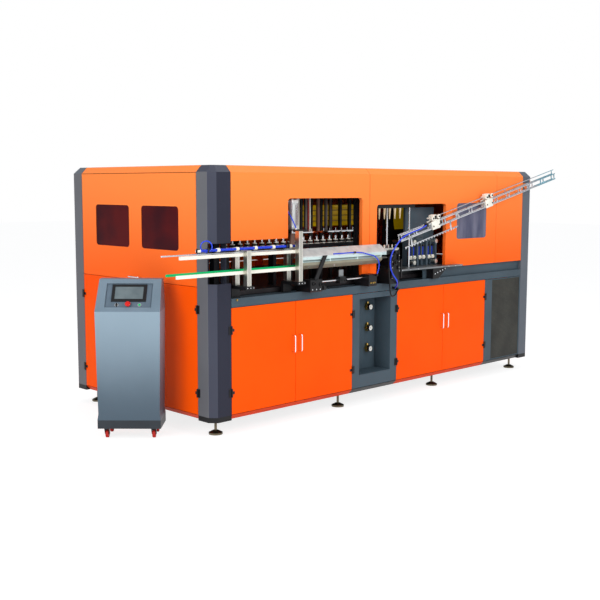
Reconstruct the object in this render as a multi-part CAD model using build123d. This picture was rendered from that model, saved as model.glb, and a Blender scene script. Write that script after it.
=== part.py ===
from build123d import *
import math
import os

# Cabinet, measured from the outer left face, the outer front face and the floor
COLUMN_X = 178
COLUMN_Y = 170
DOOR_PAIR = 1300
ALCOVE_W = 566
SERVICE_W = 603
END_W = 1494
HEIGHT = 1970
EDGE = 50
SHEET = 3
GAP = 4
UNDERSIDE = 118
DOOR_BOTTOM = 160
DOOR_TOP = 944
LEDGE_TOP = 1012
UPPER_BOTTOM = 1100
RAIL_DEPTH = 30
TUBE = 50
FRAME_IN = 110

# Levelling feet
FOOT_R = 52
FOOT_PAD = 14
FOOT_CONE = 16
STEM_R = 10
NUT_H = 14

# Work spaces and windows in the front covers
LANE_COVER_BOTTOM = 1430
SPACE_1_X0 = 746
SPACE_1_X1 = 1588
SPACE_1_TOP = 1730
SPACE_2_X0 = 1768
SPACE_2_X1 = 2712
SPACE_2_TOP = 1672
COVER_SEAM_2 = 3499
SPACE_R = 28
SPACE_RIM = 28
WINDOW_W = 462
WINDOW_H = 325
WINDOW_BOTTOM = 1348
WINDOW_R = 28
PANE = 4
PANE_LAP = 16
FRONT_WINDOW_X = 3107
END_WINDOW_Y1 = 610
END_WINDOW_Y2 = 1234

# Near column pocket for the bottle lane
POCKET_BOTTOM = 1125
POCKET_TOP = 1415
POCKET_Y = 50

# Doors, hinges and handles
DOOR_T = 20
HINGE_H = 62
HINGE_LEAF = 27
HINGE_LEAF_T = 3
KNUCKLE_R = 6
PIN_R = 3
PIN_FIT = 0.08
HINGE_IN = 130
HANDLE_H = 130
HANDLE_OUT = 36
HANDLE_R = 5
HANDLE_EDGE = 34
HANDLE_Z = 620
END_HANDLE_Z = 1124
PIVOT_IN = 10
PIVOT_DROP = 24
PIVOT_REACH = 34
ARM_W = 16
LUG_W = 10

# Bed
BED_TOP = 1050
BED_T = 30
LEDGE_T = 8
APRON_X0 = 2430
APRON_Y = 30
APRON_T = 8

# Gauge alcove
ALCOVE_FRAME = 86
ALCOVE_DEPTH = 180
ALCOVE_TOP = 900
ALCOVE_BOTTOM = 266
GAUGE_R = 26
GAUGE_T = 28
GAUGE_PITCH = 180
GAUGE_LOW_Z = 440
GAUGE_X = 1852
FITTING_W = 34
FITTING_H = 56
FITTING_D = 26

# Service window
SERVICE_FRAME = 118
SERVICE_SIDE = 16
FILTER_R = 34
FILTER_H = 96
FILTER_PITCH = 128

# Preform track and carriers
TRACK_X0 = 300
TRACK_X1 = 1940
TRACK_Y = 300
TRACK_W = 60
TRACK_TOP = 1345
TRACK_T = 20
CARRIER_PITCH = 76.2
CARRIER_COUNT = 20
CARRIER_X0 = 370
CARRIER_BAR_T = 12
CARRIER_BAR_W = 40
HEAD_R = 25
HEAD_H = 28
MANDREL_R = 10
MANDREL_H = 44
RUN = 0.3

# Oven
OVEN_X0 = 1110
OVEN_X1 = 2190
OVEN_Y = 352
OVEN_BAR = 24
OVEN_BAR_PITCH = 118
OVEN_TOP = 1780
OVEN_BEAM = 28
REFLECTOR_Z0 = 1490
REFLECTOR_Z1 = 1665
REFLECTOR_Y = 402
REFLECTOR_SAG = 18
LAMP_R = 5
LAMP_COUNT = 3
LAMP_PITCH = 44
LAMP_Y = 388

# Blow station
PRESS_X0 = 2290
PRESS_X1 = 2700
PRESS_BASE_X0 = 1960
PRESS_BASE_X1 = 2870
PRESS_BASE_TOP = 1124
PRESS_BASE_T = 14
PRESS_OVERHANG = 80
PRESS_BACK = 520
PRESS_WING_BACK = 330
PRESS_WING_X1 = 2240
PLATEN_TOP = 1370
PLATEN_Y = 90
PLATEN_T = 30
RIB_D = 32
RIB_W = 20
RIB_COUNT = 4
MOULD_T = 50
MOULD_IN = 70
MOULD_UP = 45
STROKE = 100
REAR_PLATEN_T = 36
REAR_PLATEN_TOP = 1640
TIE_R = 13
TIE_IN = 32
TIE_FIT = 0.08
HEAD_BEAM_X0 = 1800
HEAD_BEAM_X1 = 2330
HEAD_BEAM_Z = 1640
HEAD_BEAM_H = 44
HEAD_BEAM_Y = 50
HEAD_BEAM_D = 60
CONE_COUNT = 5
CONE_PITCH = 68
CONE_X0 = 1868
CONE_H = 92
CONE_R0 = 11
CONE_R1 = 5
COLUMN_ROD_R = 8
HEAD_TRAVEL = 120

# Preform chute
CHUTE_X0 = 1990
CHUTE_Z0 = 1388
CHUTE_LENGTH = 2480
CHUTE_ANGLE = 12.65
CHUTE_Y = -60
CHUTE_GAP = 26
CHUTE_BAR = 5
CHUTE_H = 62
GUIDE_R = 4
GUIDE_UP = 34
CLAMP_L = 110
CLAMP_H = 58
CLAMP_T = 16
STRIP_LENGTH = 800
STRIP_DOWN = 112
STRIP_H = 18
STRIP_PITCH = 40

# Bottle lane, which straddles the front face
POST = 40
POST_FRONT_Y = -100
POST_REAR_Y = 30
POST_A_X = 245
POST_B_X = 765
POST_FOOT_TOP = 1104
POST_FOOT_T = 24
POST_TOP = 1354
POST_B_TOP = 1486
TIE_PLATE = 8
RAIL_T = 12
RAIL_H = 24
LOWER_RAIL_Z = 1203
LOWER_RAIL_X0 = -355
UPPER_RAIL_Z = 1332
UPPER_RAIL_X0 = -327
ROD_RAIL_R = 6
ROD_RAIL_Z = 1345
ROD_RAIL_X0 = -420
GREEN_T = 8
GREEN_H = 18
GREEN_Z = 1212
GREEN_X0 = -383
GREEN_X1 = 1024
AIR_R = 10
AIR_X0 = -150
AIR_Y = -20
AIR_NOZZLES = 6
NOZZLE_R = 15
NOZZLE_L = 26
TROUGH_X0 = 812
TROUGH_X1 = 1800
TROUGH_REAR_Y = -8
TROUGH_FRONT_Y = -88
TROUGH_TOP = 1345
TROUGH_LIP_TOP = 1290
TROUGH_LIP = 28
TROUGH_LOW = 1190
TROUGH_T = 4
SLIDE_ROD_R = 6
SLIDE_ROD_Y = -45
SLIDE_ROD_Z = 1083
SLIDE_BLOCK_X0 = 895
SLIDE_BLOCK_L = 130
SLIDE_BLOCK_Y0 = -94
SLIDE_BLOCK_Y1 = 60
SLIDE_BLOCK_UP = 26
SLIDE_ROD_L = 545
SLIDE_FIT = 0.08
CARRIAGE_X = 1250
CARRIAGE_L = 72
END_UNIT_X0 = 1836
END_UNIT_X1 = 1950
END_UNIT_TOP = 1262
CYLINDER_X = 846
CYLINDER_Y = 60
CYLINDER_R = 20
CYLINDER_H = 214
CYLINDER_ROD_R = 7
STOP_TRAVEL = 60

# Console, in its own frame: x to its right, y into its depth, z up, origin under its front edge
CONSOLE_X = -420
CONSOLE_Y = 438
CONSOLE_TURN = -44.6
CONSOLE_W = 467
CONSOLE_WAIST = 442
CONSOLE_BASE_W = 456
CONSOLE_D = 260
CONSOLE_BOTTOM = 80
PLINTH_TOP = 186
DESK_Z = 930
CONSOLE_TOP = 1150
DESK_BACK = 165
PANEL_W = 334
PANEL_H = 200
PANEL_DEPTH = 12
PANEL_T = 4
SCREEN_W = 250
SCREEN_H = 142
SCREEN_T = 9
BUTTON_PITCH = 82
BUTTON_ROW = 78
CASTER_X = 170
CASTER_Y = 45
CASTER_TRAIL = 22
WHEEL_R = 31
WHEEL_W = 22
FORK_W = 34
FORK_PLATE = 4
AXLE_R = 5
KING_R = 6
KING_UP = 26

ALCOVE_X0 = COLUMN_X + DOOR_PAIR
ALCOVE_X1 = ALCOVE_X0 + ALCOVE_W
SERVICE_X0 = ALCOVE_X1 + DOOR_PAIR
SERVICE_X1 = SERVICE_X0 + SERVICE_W
LENGTH = SERVICE_X1 + COLUMN_X
DEPTH = END_W + 2 * COLUMN_Y
COVER_SEAM_1 = (SPACE_1_X1 + SPACE_2_X0) / 2
FAR_Y = DEPTH - COLUMN_Y
FOOT_IN = FRAME_IN + TUBE / 2
LOW_STATIONS = (FRAME_IN, ALCOVE_X0 + 18, ALCOVE_X1 - TUBE - 18, SERVICE_X0 + 18, LENGTH - FRAME_IN - TUBE)
HIGH_STATIONS = (FRAME_IN, COVER_SEAM_1 - TUBE / 2, SERVICE_X0 + 18, LENGTH - FRAME_IN - TUBE)
FOOT_STATIONS = (FRAME_IN, ALCOVE_X0 - TUBE, SERVICE_X0 - DOOR_PAIR / 2, LENGTH - FRAME_IN - TUBE)
HINGE_Y = -KNUCKLE_R
AIR_Z = POST_TOP + TIE_PLATE + AIR_R
END_DOOR_TOP = HEIGHT - EDGE - GAP
PIVOT_Z = END_DOOR_TOP - PIVOT_DROP


def block(x0, x1, y0, y1, z0, z1):
    """A block between two corners."""
    middle = Pos((x0 + x1) / 2, (y0 + y1) / 2, (z0 + z1) / 2)
    return middle * Box(x1 - x0, y1 - y0, z1 - z0)


def bar(start, direction, length, radius):
    """A round bar from a point along a direction."""
    return Plane(origin=start, z_dir=direction) * Cylinder(
        radius, length, align=(Align.CENTER, Align.CENTER, Align.MIN)
    )


def along_x(points, x0, x1):
    """A profile of (y, z) points, extruded from x0 to x1."""
    face = make_face(Polyline(*[(0, y, z) for y, z in points], close=True))
    return Pos(x0, 0, 0) * extrude(face, x1 - x0, dir=(1, 0, 0))


def along_y(points, y0, y1):
    """A profile of (x, z) points, extruded from y0 to y1."""
    face = make_face(Polyline(*[(x, 0, z) for x, z in points], close=True))
    return Pos(0, y0, 0) * extrude(face, y1 - y0, dir=(0, 1, 0))


def turned(profile):
    """A profile of (radius, height) points, revolved about Z."""
    face = make_face(Polyline(*[(r, 0, z) for r, z in profile], close=True))
    return revolve(face, Axis.Z)


def rounded_hole(width, height, radius, depth):
    """A rounded block in the XZ plane, centred, that cuts a window or work space."""
    return extrude(Plane.XZ * RectangleRounded(width, height, radius), depth, both=True)


def envelope(inset):
    """The cabinet's outer form, or its inner face when an inset is given."""
    leg = EDGE - inset * (2 - math.sqrt(2))
    width = LENGTH - 2 * inset
    depth = DEPTH - 2 * inset
    foot = Pos(LENGTH / 2, DEPTH / 2, UNDERSIDE) * chamfer(Rectangle(width, depth).vertices(), leg)
    body = extrude(foot, HEIGHT - UNDERSIDE - inset)
    return chamfer(body.faces().sort_by(Axis.Z)[-1].edges(), leg)


def sheet_piece(outer, inner, x0, x1, y0, y1, z0, z1, ends):
    """A piece of the cabinet's skin with return flanges that reach the frame at its two ends."""
    piece = (outer - inner) & block(x0, x1, y0, y1, z0, z1)
    for end in ends:
        piece += inner & block(*end)
    return piece


def flanges_x(x0, x1, y0, y1, z0, z1):
    """Return flanges at the two ends of a piece that runs along X."""
    return ((x0, x0 + SHEET, y0, y1, z0, z1), (x1 - SHEET, x1, y0, y1, z0, z1))


def flanges_y(x0, x1, y0, y1, z0, z1):
    """Return flanges at the two ends of a piece that runs along Y."""
    return ((x0, x1, y0, y0 + SHEET, z0, z1), (x0, x1, y1 - SHEET, y1, z0, z1))


def corner_columns(outer, inner):
    """Four folded corner columns; the near one is open where the bottle lane passes."""
    x1 = COLUMN_X - GAP / 2
    y1 = COLUMN_Y - GAP / 2
    column = (outer - inner) & block(0, x1, 0, y1, UNDERSIDE, HEIGHT)
    column += inner & block(x1 - SHEET, x1, 0, FRAME_IN, UNDERSIDE, HEIGHT)
    column += inner & block(0, FRAME_IN, y1 - SHEET, y1, UNDERSIDE, HEIGHT)
    across = Plane.YZ.offset(LENGTH / 2)
    others = [mirror(column, across), mirror(column, Plane.XZ.offset(-DEPTH / 2))]
    others.append(Pos(LENGTH, DEPTH, 0) * Rot(0, 0, 180) * column)
    return {
        "column_front_left": column - block(-1, COLUMN_X, -1, POCKET_Y, POCKET_BOTTOM, POCKET_TOP),
        "corner_columns": Compound(others),
    }


def rim(x0, x1, z1):
    """The folded rim round a work space, open at the bottom."""
    tall = 2 * (z1 - UPPER_BOTTOM)
    ring = Plane.XZ * (RectangleRounded(x1 - x0 + 2 * SHEET, tall + 2 * SHEET, SPACE_R + SHEET) - RectangleRounded(x1 - x0, tall, SPACE_R))
    body = Pos((x0 + x1) / 2, SHEET, z1 - tall / 2) * extrude(ring, -SPACE_RIM)
    return body & block(x0 - 2 * SHEET, x1 + 2 * SHEET, 0, SPACE_RIM + SHEET, UPPER_BOTTOM, HEIGHT)


def front_covers(outer, inner):
    """Three bent front covers with the two work spaces and the window cut out."""
    half = GAP / 2
    spans = (
        (COLUMN_X + half, COVER_SEAM_1 - half),
        (COVER_SEAM_1 + half, COVER_SEAM_2 - half),
        (COVER_SEAM_2 + half, SERVICE_X1 - half),
    )
    covers = []
    for x0, x1 in spans:
        ends = flanges_x(x0, x1, 0, FRAME_IN, UPPER_BOTTOM, HEIGHT)
        covers.append(sheet_piece(outer, inner, x0, x1, 0, EDGE - half, UPPER_BOTTOM, HEIGHT, ends))
    left, middle, right = covers
    left += rim(SPACE_1_X0, SPACE_1_X1, SPACE_1_TOP)
    left -= block(0, SPACE_1_X0, -1, FRAME_IN + 1, 0, LANE_COVER_BOTTOM)
    middle += rim(SPACE_2_X0, SPACE_2_X1, SPACE_2_TOP)
    for cover, x0, x1, z1 in (
        (0, SPACE_1_X0, SPACE_1_X1, SPACE_1_TOP),
        (1, SPACE_2_X0, SPACE_2_X1, SPACE_2_TOP),
    ):
        hole = rounded_hole(x1 - x0, 2 * (z1 - UPPER_BOTTOM), SPACE_R, SPACE_RIM + 2 * SHEET)
        hole = Pos((x0 + x1) / 2, 0, UPPER_BOTTOM) * hole
        if cover == 0:
            left -= hole
        else:
            middle -= hole
    centre = Pos(FRONT_WINDOW_X, 0, WINDOW_BOTTOM + WINDOW_H / 2)
    middle -= centre * rounded_hole(WINDOW_W, WINDOW_H, WINDOW_R, EDGE)
    pane = centre * Pos(0, SHEET + PANE / 2, 0) * Box(WINDOW_W + 2 * PANE_LAP, PANE, WINDOW_H + 2 * PANE_LAP)
    return {
        "front_cover_left": left,
        "front_cover_middle": middle,
        "front_cover_right": right,
        "front_window": pane,
    }


def closed_sides(outer, inner):
    """Roof, rear panels, right end and the strip above the left end door, none of which opens."""
    half = GAP / 2
    roof = block(EDGE + half, LENGTH - EDGE - half, EDGE + half, DEPTH - EDGE - half, HEIGHT - SHEET, HEIGHT)
    for x0, x1 in ((0, COLUMN_X), (LENGTH - COLUMN_X, LENGTH)):
        roof -= block(x0, x1, 0, COLUMN_Y, 0, HEIGHT + 1)
        roof -= block(x0, x1, FAR_Y, DEPTH, 0, HEIGHT + 1)
    rows = ((UPPER_BOTTOM, HEIGHT), (DOOR_BOTTOM, UPPER_BOTTOM - GAP))
    far = DEPTH - FRAME_IN
    rear = []
    for x0, x1 in ((COLUMN_X + half, LENGTH / 2 - half), (LENGTH / 2 + half, SERVICE_X1 - half)):
        for z0, z1 in rows:
            ends = flanges_x(x0, x1, far, DEPTH, z0, z1)
            rear.append(sheet_piece(outer, inner, x0, x1, DEPTH - EDGE + half, DEPTH, z0, z1, ends))
    y0 = COLUMN_Y + half
    y1 = FAR_Y - half
    right = []
    for z0, z1 in rows:
        ends = flanges_y(LENGTH - FRAME_IN, LENGTH, y0, y1, z0, z1)
        right.append(sheet_piece(outer, inner, LENGTH - EDGE + half, LENGTH, y0, y1, z0, z1, ends))
    ends = flanges_y(0, FRAME_IN, y0, y1, HEIGHT - EDGE, HEIGHT)
    strip = sheet_piece(outer, inner, 0, EDGE - half, y0, y1, HEIGHT - EDGE, HEIGHT, ends)
    return {
        "roof_panel": Compound([roof, strip]),
        "closed_panels": Compound(rear + right),
    }


def skirt():
    """Folded skirt under the doors, set in at 45 degrees, on the four sides."""
    low = UNDERSIDE
    rise = DOOR_BOTTOM - GAP
    leg = rise - low
    inner = low + SHEET
    profile = [(0, rise), (leg, low), (FOOT_IN - STEM_R * 2, low), (FOOT_IN - STEM_R * 2, inner)]
    profile += [(leg + SHEET, inner), (SHEET + SHEET, rise)]
    near = along_x(profile, COLUMN_X + GAP / 2, SERVICE_X1 - GAP / 2)
    rear = mirror(near, Plane.XZ.offset(-DEPTH / 2))
    left = along_y(profile, COLUMN_Y + GAP / 2, FAR_Y - GAP / 2)
    right = mirror(left, Plane.YZ.offset(LENGTH / 2))
    return {"skirt": Compound([near, rear, left, right])}


def frame_layer(stations, z0, z1, low_rail, high_rail):
    """One storey of welded square tube: rails along X, uprights and cross members."""
    rows = (FRAME_IN, DEPTH - FRAME_IN - TUBE)
    members = []
    bottom = z0 + TUBE if low_rail else z0
    top = z1 - TUBE if high_rail else z1
    for y in rows:
        if low_rail:
            members.append(block(FRAME_IN, LENGTH - FRAME_IN, y, y + TUBE, z0, z0 + TUBE))
        if high_rail:
            members.append(block(FRAME_IN, LENGTH - FRAME_IN, y, y + TUBE, z1 - TUBE, z1))
        for x in stations:
            members.append(block(x, x + TUBE, y, y + TUBE, bottom, top))
    for x in stations:
        if low_rail:
            members.append(block(x, x + TUBE, rows[0] + TUBE, rows[1], z0, z0 + TUBE))
        if high_rail:
            members.append(block(x, x + TUBE, rows[0] + TUBE, rows[1], z1 - TUBE, z1))
    return members


def frames():
    """The lower frame that carries the bed, and the upper frame that carries covers and roof."""
    lower = frame_layer(LOW_STATIONS, UNDERSIDE + SHEET, BED_TOP - BED_T, True, True)
    upper = frame_layer(HIGH_STATIONS, BED_TOP, HEIGHT - SHEET, False, True)
    return {"machine_frame": Compound(lower + upper)}


def feet():
    """Levelling feet: a pad with a coned top, a stem and a lock nut, at each foot station."""
    pad_top = FOOT_PAD + FOOT_CONE
    profile = [(0, 0), (FOOT_R, 0), (FOOT_R, FOOT_PAD), (STEM_R * 2, pad_top), (STEM_R, pad_top)]
    profile += [(STEM_R, UNDERSIDE + SHEET), (0, UNDERSIDE + SHEET)]
    foot = turned(profile)
    foot += Pos(0, 0, UNDERSIDE + SHEET - NUT_H) * extrude(RegularPolygon(STEM_R * 1.8, 6), NUT_H)
    places = []
    for x in FOOT_STATIONS:
        for y in (FOOT_IN, DEPTH - FOOT_IN):
            places.append(Pos(x + TUBE / 2, y, 0))
    return {"levelling_feet": Compound([place * copy_of(foot) for place in places])}


def copy_of(shape):
    """A free copy of a shape, for a pattern."""
    return Pos(0, 0, 0) * shape


def hinge_side(x, z, side):
    """The frame half of a hinge on the front face: leaf, two knuckles and the pin."""
    third = HINGE_H / 3
    leaf = block(min(x, x - side * HINGE_LEAF), max(x, x - side * HINGE_LEAF), -HINGE_LEAF_T, 0, z, z + HINGE_H)
    leaf -= bar((x, HINGE_Y, z + third), (0, 0, 1), third, KNUCKLE_R + RUN)
    for low in (z, z + 2 * third):
        leaf += bar((x, HINGE_Y, low), (0, 0, 1), third, KNUCKLE_R)
    return leaf + bar((x, HINGE_Y, z), (0, 0, 1), HINGE_H, PIN_R)


def hinge_door_side(x, z, side):
    """The door half of a hinge: a leaf on the door and its middle knuckle, bored for the pin."""
    third = HINGE_H / 3
    x1 = x + side * HINGE_LEAF
    x0 = x + side * GAP / 2
    leaf = block(min(x0, x1), max(x0, x1), -HINGE_LEAF_T, 0, z + third + RUN, z + 2 * third - RUN)
    middle = (x, HINGE_Y, z + third + RUN)
    leaf += bar(middle, (0, 0, 1), third - 2 * RUN, KNUCKLE_R)
    return leaf - bar(middle, (0, 0, 1), third, PIN_R + PIN_FIT)


def pan(width, height):
    """A sheet-metal door: a flat face with returned edges, open at the back, from its low left corner."""
    door = block(0, width, 0, DOOR_T, 0, height)
    return door - block(SHEET, width - SHEET, SHEET, DOOR_T, SHEET, height - SHEET)


def bow_handle(length):
    """A bow handle of round bar that stands out from y = 0, centred, upright."""
    half = length / 2
    path = FilletPolyline((0, 0, -half), (0, -HANDLE_OUT, -half), (0, -HANDLE_OUT, half), (0, 0, half), radius=HANDLE_R * 2.4)
    return sweep(Plane(origin=path @ 0, z_dir=path % 0) * Circle(HANDLE_R), path)


def hinge_heights(bottom, top):
    """The low edges of a door's two hinges."""
    return (bottom + HINGE_IN, top - HINGE_IN - HINGE_H)


def front_doors():
    """Two pairs of doors with bow handles and door-side hinge leaves, and the list of frame-side leaves."""
    made = {}
    leaves = []
    width = DOOR_PAIR / 2 - GAP
    height = DOOR_TOP - DOOR_BOTTOM
    number = 0
    for x0 in (COLUMN_X, ALCOVE_X1):
        for side, edge in ((1, x0), (-1, x0 + DOOR_PAIR)):
            number += 1
            low_x = edge + GAP / 2 if side == 1 else edge - GAP / 2 - width
            door = Pos(low_x, 0, DOOR_BOTTOM) * pan(width, height)
            for z in hinge_heights(DOOR_BOTTOM, DOOR_TOP):
                door += hinge_door_side(edge, z, side)
                leaves.append(hinge_side(edge, z, side))
            free = low_x + width if side == 1 else low_x
            door += Pos(free - side * HANDLE_EDGE, 0, HANDLE_Z) * bow_handle(HANDLE_H)
            made[f"front_door_{number}"] = door
    return made, leaves


def end_face(shape):
    """Turns a shape built on the front face, with x as the distance from the near column, to the left end."""
    return mirror(Rot(0, 0, 90) * shape, Plane.YZ)


def pivot_arm(y):
    """A goose-neck arm, from the frame's top tube round under the door's flange to the pivot pin."""
    low = PIVOT_Z - PIVOT_REACH
    t = KNUCKLE_R
    profile = [(PIVOT_IN - t, PIVOT_Z), (PIVOT_IN + t, PIVOT_Z), (PIVOT_IN + t, low + 2 * t)]
    profile += [(FRAME_IN - 2 * t, low + 2 * t), (FRAME_IN - 2 * t, HEIGHT - EDGE), (FRAME_IN, HEIGHT - EDGE)]
    profile += [(FRAME_IN, low), (PIVOT_IN - t, low)]
    arm = along_y(profile, y - ARM_W / 2, y + ARM_W / 2)
    arm += bar((PIVOT_IN, y - ARM_W / 2, PIVOT_Z), (0, 1, 0), ARM_W, t)
    pin = ARM_W / 2 + RUN + LUG_W
    return arm + bar((PIVOT_IN, y - pin, PIVOT_Z), (0, 1, 0), 2 * pin, PIN_R)


def pivot_lugs(y):
    """Two lugs on the inside of the lift-up door, bored for the pivot pin, one each side of an arm."""
    lugs = []
    for side in (-1, 1):
        near = y + side * (ARM_W / 2 + RUN)
        far = near + side * LUG_W
        low = PIVOT_Z - KNUCKLE_R
        lug = block(SHEET, PIVOT_IN + KNUCKLE_R, min(near, far), max(near, far), low, PIVOT_Z + KNUCKLE_R)
        lugs.append(lug - bar((PIVOT_IN, min(near, far), PIVOT_Z), (0, 1, 0), LUG_W, PIN_R + PIN_FIT))
    return lugs


def left_end_doors():
    """The lift-up upper door with its panes and handle, and the two lower doors, with all hinge leaves."""
    made, leaves = front_doors()
    start = COLUMN_Y
    width = END_W / 2 - GAP
    top = UPPER_BOTTOM - GAP
    for name, side, edge in (("near", 1, start), ("far", -1, start + END_W)):
        low = edge + GAP / 2 if side == 1 else edge - GAP / 2 - width
        door = Pos(low, 0, DOOR_BOTTOM) * pan(width, top - DOOR_BOTTOM)
        for z in hinge_heights(DOOR_BOTTOM, top):
            door += hinge_door_side(edge, z, side)
            leaves.append(end_face(hinge_side(edge, z, side)))
        made[f"end_door_{name}"] = end_face(door)
    arms = [COLUMN_Y + END_W * share for share in (0.1, 0.5, 0.9)]
    leaves += [pivot_arm(y) for y in arms]
    made["hinge_leaves"] = Compound(leaves)
    upper = Pos(start + GAP / 2, 0, UPPER_BOTTOM) * pan(END_W - GAP, END_DOOR_TOP - UPPER_BOTTOM)
    panes = []
    for y in (END_WINDOW_Y1, END_WINDOW_Y2):
        centre = Pos(y, 0, WINDOW_BOTTOM + WINDOW_H / 2)
        upper -= centre * rounded_hole(WINDOW_W, WINDOW_H, WINDOW_R, EDGE)
        pane = Pos(0, SHEET + PANE / 2, 0) * Box(WINDOW_W + 2 * PANE_LAP, PANE, WINDOW_H + 2 * PANE_LAP)
        panes.append(end_face(centre * pane))
    upper += Pos(start + END_W / 2, 0, END_HANDLE_Z) * Rot(0, 90, 0) * bow_handle(HANDLE_H)
    upper = end_face(upper)
    for y in arms:
        upper += pivot_lugs(y)
    made["end_door_upper"] = upper
    made["end_windows"] = Compound(panes)
    return made


def bed():
    """The machine bed, the front rail with its ledge and the apron at the right."""
    plate = block(FRAME_IN, LENGTH - FRAME_IN, FRAME_IN, DEPTH - FRAME_IN, BED_TOP - BED_T, BED_TOP)
    rail_x0 = COLUMN_X + GAP / 2
    rail_x1 = SERVICE_X1 - GAP / 2
    low = DOOR_TOP + GAP
    ledge = LEDGE_TOP - LEDGE_T
    profile = [(0, low), (0, LEDGE_TOP), (FRAME_IN, LEDGE_TOP), (FRAME_IN, ledge)]
    profile += [(RAIL_DEPTH, ledge), (RAIL_DEPTH, low)]
    rail = along_x(profile, rail_x0, rail_x1)
    apron_top = UPPER_BOTTOM - GAP
    profile = [(APRON_Y, LEDGE_TOP), (APRON_Y, apron_top), (FRAME_IN, apron_top), (FRAME_IN, apron_top - APRON_T)]
    profile += [(APRON_Y + APRON_T, apron_top - APRON_T), (APRON_Y + APRON_T, LEDGE_TOP)]
    apron = along_x(profile, APRON_X0, rail_x1)
    return {"machine_bed": plate, "front_rail": rail + apron}


def alcove():
    """The slate front frame with its recess, and the gauges and fittings on the recess wall."""
    x0 = ALCOVE_X0 + GAP / 2
    x1 = ALCOVE_X1 - GAP / 2
    left = ALCOVE_X0 + ALCOVE_FRAME
    right = ALCOVE_X1 - ALCOVE_FRAME
    front = block(x0, x1, 0, SHEET, DOOR_BOTTOM, DOOR_TOP)
    for x in (x0, x1 - SHEET):
        front += block(x, x + SHEET, SHEET, FRAME_IN, DOOR_BOTTOM, DOOR_TOP)
    outer = block(left - SHEET, right + SHEET, 0, ALCOVE_DEPTH + SHEET, ALCOVE_BOTTOM - SHEET, ALCOVE_TOP + SHEET)
    front += outer
    front -= block(left, right, -1, ALCOVE_DEPTH, ALCOVE_BOTTOM, ALCOVE_TOP)
    wall = ALCOVE_DEPTH
    gauge = turned([(0, 0), (GAUGE_R * 0.5, 0), (GAUGE_R * 0.9, 4), (GAUGE_R, 6), (GAUGE_R, GAUGE_T), (GAUGE_R * 0.86, GAUGE_T), (GAUGE_R * 0.86, GAUGE_T - 3), (0, GAUGE_T - 3)])
    gauges = []
    for index in range(3):
        z = GAUGE_LOW_Z + index * GAUGE_PITCH
        front_y = wall - FITTING_D
        gauges.append(Pos(GAUGE_X, front_y, z) * Rot(90, 0, 0) * copy_of(gauge))
        body = block(-FITTING_W / 2, FITTING_W / 2, 0, FITTING_D, -FITTING_H / 2, FITTING_H / 2)
        body += bar((0, FITTING_D / 2, FITTING_H / 2), (0, 0, 1), 16, 11)
        body += bar((-FITTING_W / 2 - 14, FITTING_D / 2, 0), (1, 0, 0), FITTING_W + 28, 8)
        gauges[index] += Pos(GAUGE_X, front_y, z) * body
    return {"gauge_alcove": front, "pressure_gauges": Compound(gauges)}


def service_bay():
    """The slate frame with its dark window, and the air filters on their rail behind it."""
    x0 = SERVICE_X0 + GAP / 2
    x1 = SERVICE_X1 - GAP / 2
    w0 = SERVICE_X0 + SERVICE_FRAME
    w1 = SERVICE_X1 - SERVICE_SIDE
    frame = block(x0, x1, 0, SHEET, DOOR_BOTTOM, DOOR_TOP)
    for x in (x0, x1 - SHEET):
        frame += block(x, x + SHEET, SHEET, FRAME_IN, DOOR_BOTTOM, DOOR_TOP)
    lap = SERVICE_SIDE / 2
    frame -= block(w0, w1, -1, SHEET + 1, DOOR_BOTTOM + lap, DOOR_TOP - lap)
    pane = block(w0 - lap / 2, w1 + lap / 2, SHEET, SHEET + PANE, DOOR_BOTTOM + lap / 2, DOOR_TOP - lap / 2)
    filter_x = w0 + FILTER_R * 2
    top = LEDGE_TOP - LEDGE_T
    cups = block(filter_x - FILTER_R / 2, filter_x + FILTER_R / 2, FRAME_IN - PANE, FRAME_IN, UNDERSIDE + SHEET, top)
    cup = turned([(0, 0), (FILTER_R * 0.6, 0), (FILTER_R, FILTER_R * 0.5), (FILTER_R, FILTER_H * 0.7), (FILTER_R * 0.7, FILTER_H), (0, FILTER_H)])
    for index in range(4):
        z = DOOR_TOP - (index + 1) * FILTER_PITCH
        cups += Pos(filter_x, FRAME_IN - PANE - FILTER_R + 2, z) * copy_of(cup)
    return {
        "service_frame": frame,
        "service_window": pane,
        "air_filters": cups,
    }


def preform_track():
    """The track on its legs, and the chain of preform carriers that slides along it."""
    y0 = TRACK_Y - TRACK_W / 2
    y1 = TRACK_Y + TRACK_W / 2
    track = [block(TRACK_X0, TRACK_X1, y0, y1, TRACK_TOP - TRACK_T, TRACK_TOP)]
    legs = 4
    for index in range(legs):
        x = TRACK_X0 + TRACK_W + index * (TRACK_X1 - TRACK_X0 - 3 * TRACK_W) / (legs - 1)
        track.append(block(x, x + TRACK_W / 2, y0, y1, BED_TOP, TRACK_TOP - TRACK_T))
    low = TRACK_TOP + RUN
    chain_l = (CARRIER_COUNT - 1) * CARRIER_PITCH + 2 * HEAD_R
    chain = block(0, chain_l, -CARRIER_BAR_W / 2, CARRIER_BAR_W / 2, 0, CARRIER_BAR_T)
    top = CARRIER_BAR_T + HEAD_H
    profile = [(0, CARRIER_BAR_T), (HEAD_R, CARRIER_BAR_T), (HEAD_R * 0.8, top), (MANDREL_R, top)]
    profile += [(MANDREL_R * 0.8, top + MANDREL_H), (0, top + MANDREL_H)]
    head = turned(profile)
    for index in range(CARRIER_COUNT):
        chain += Pos(HEAD_R + index * CARRIER_PITCH, 0, 0) * copy_of(head)
    return {
        "carrier_track": Compound(track),
        "preform_carriers": Pos(CARRIER_X0 - HEAD_R, TRACK_Y, low) * chain,
    }


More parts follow.
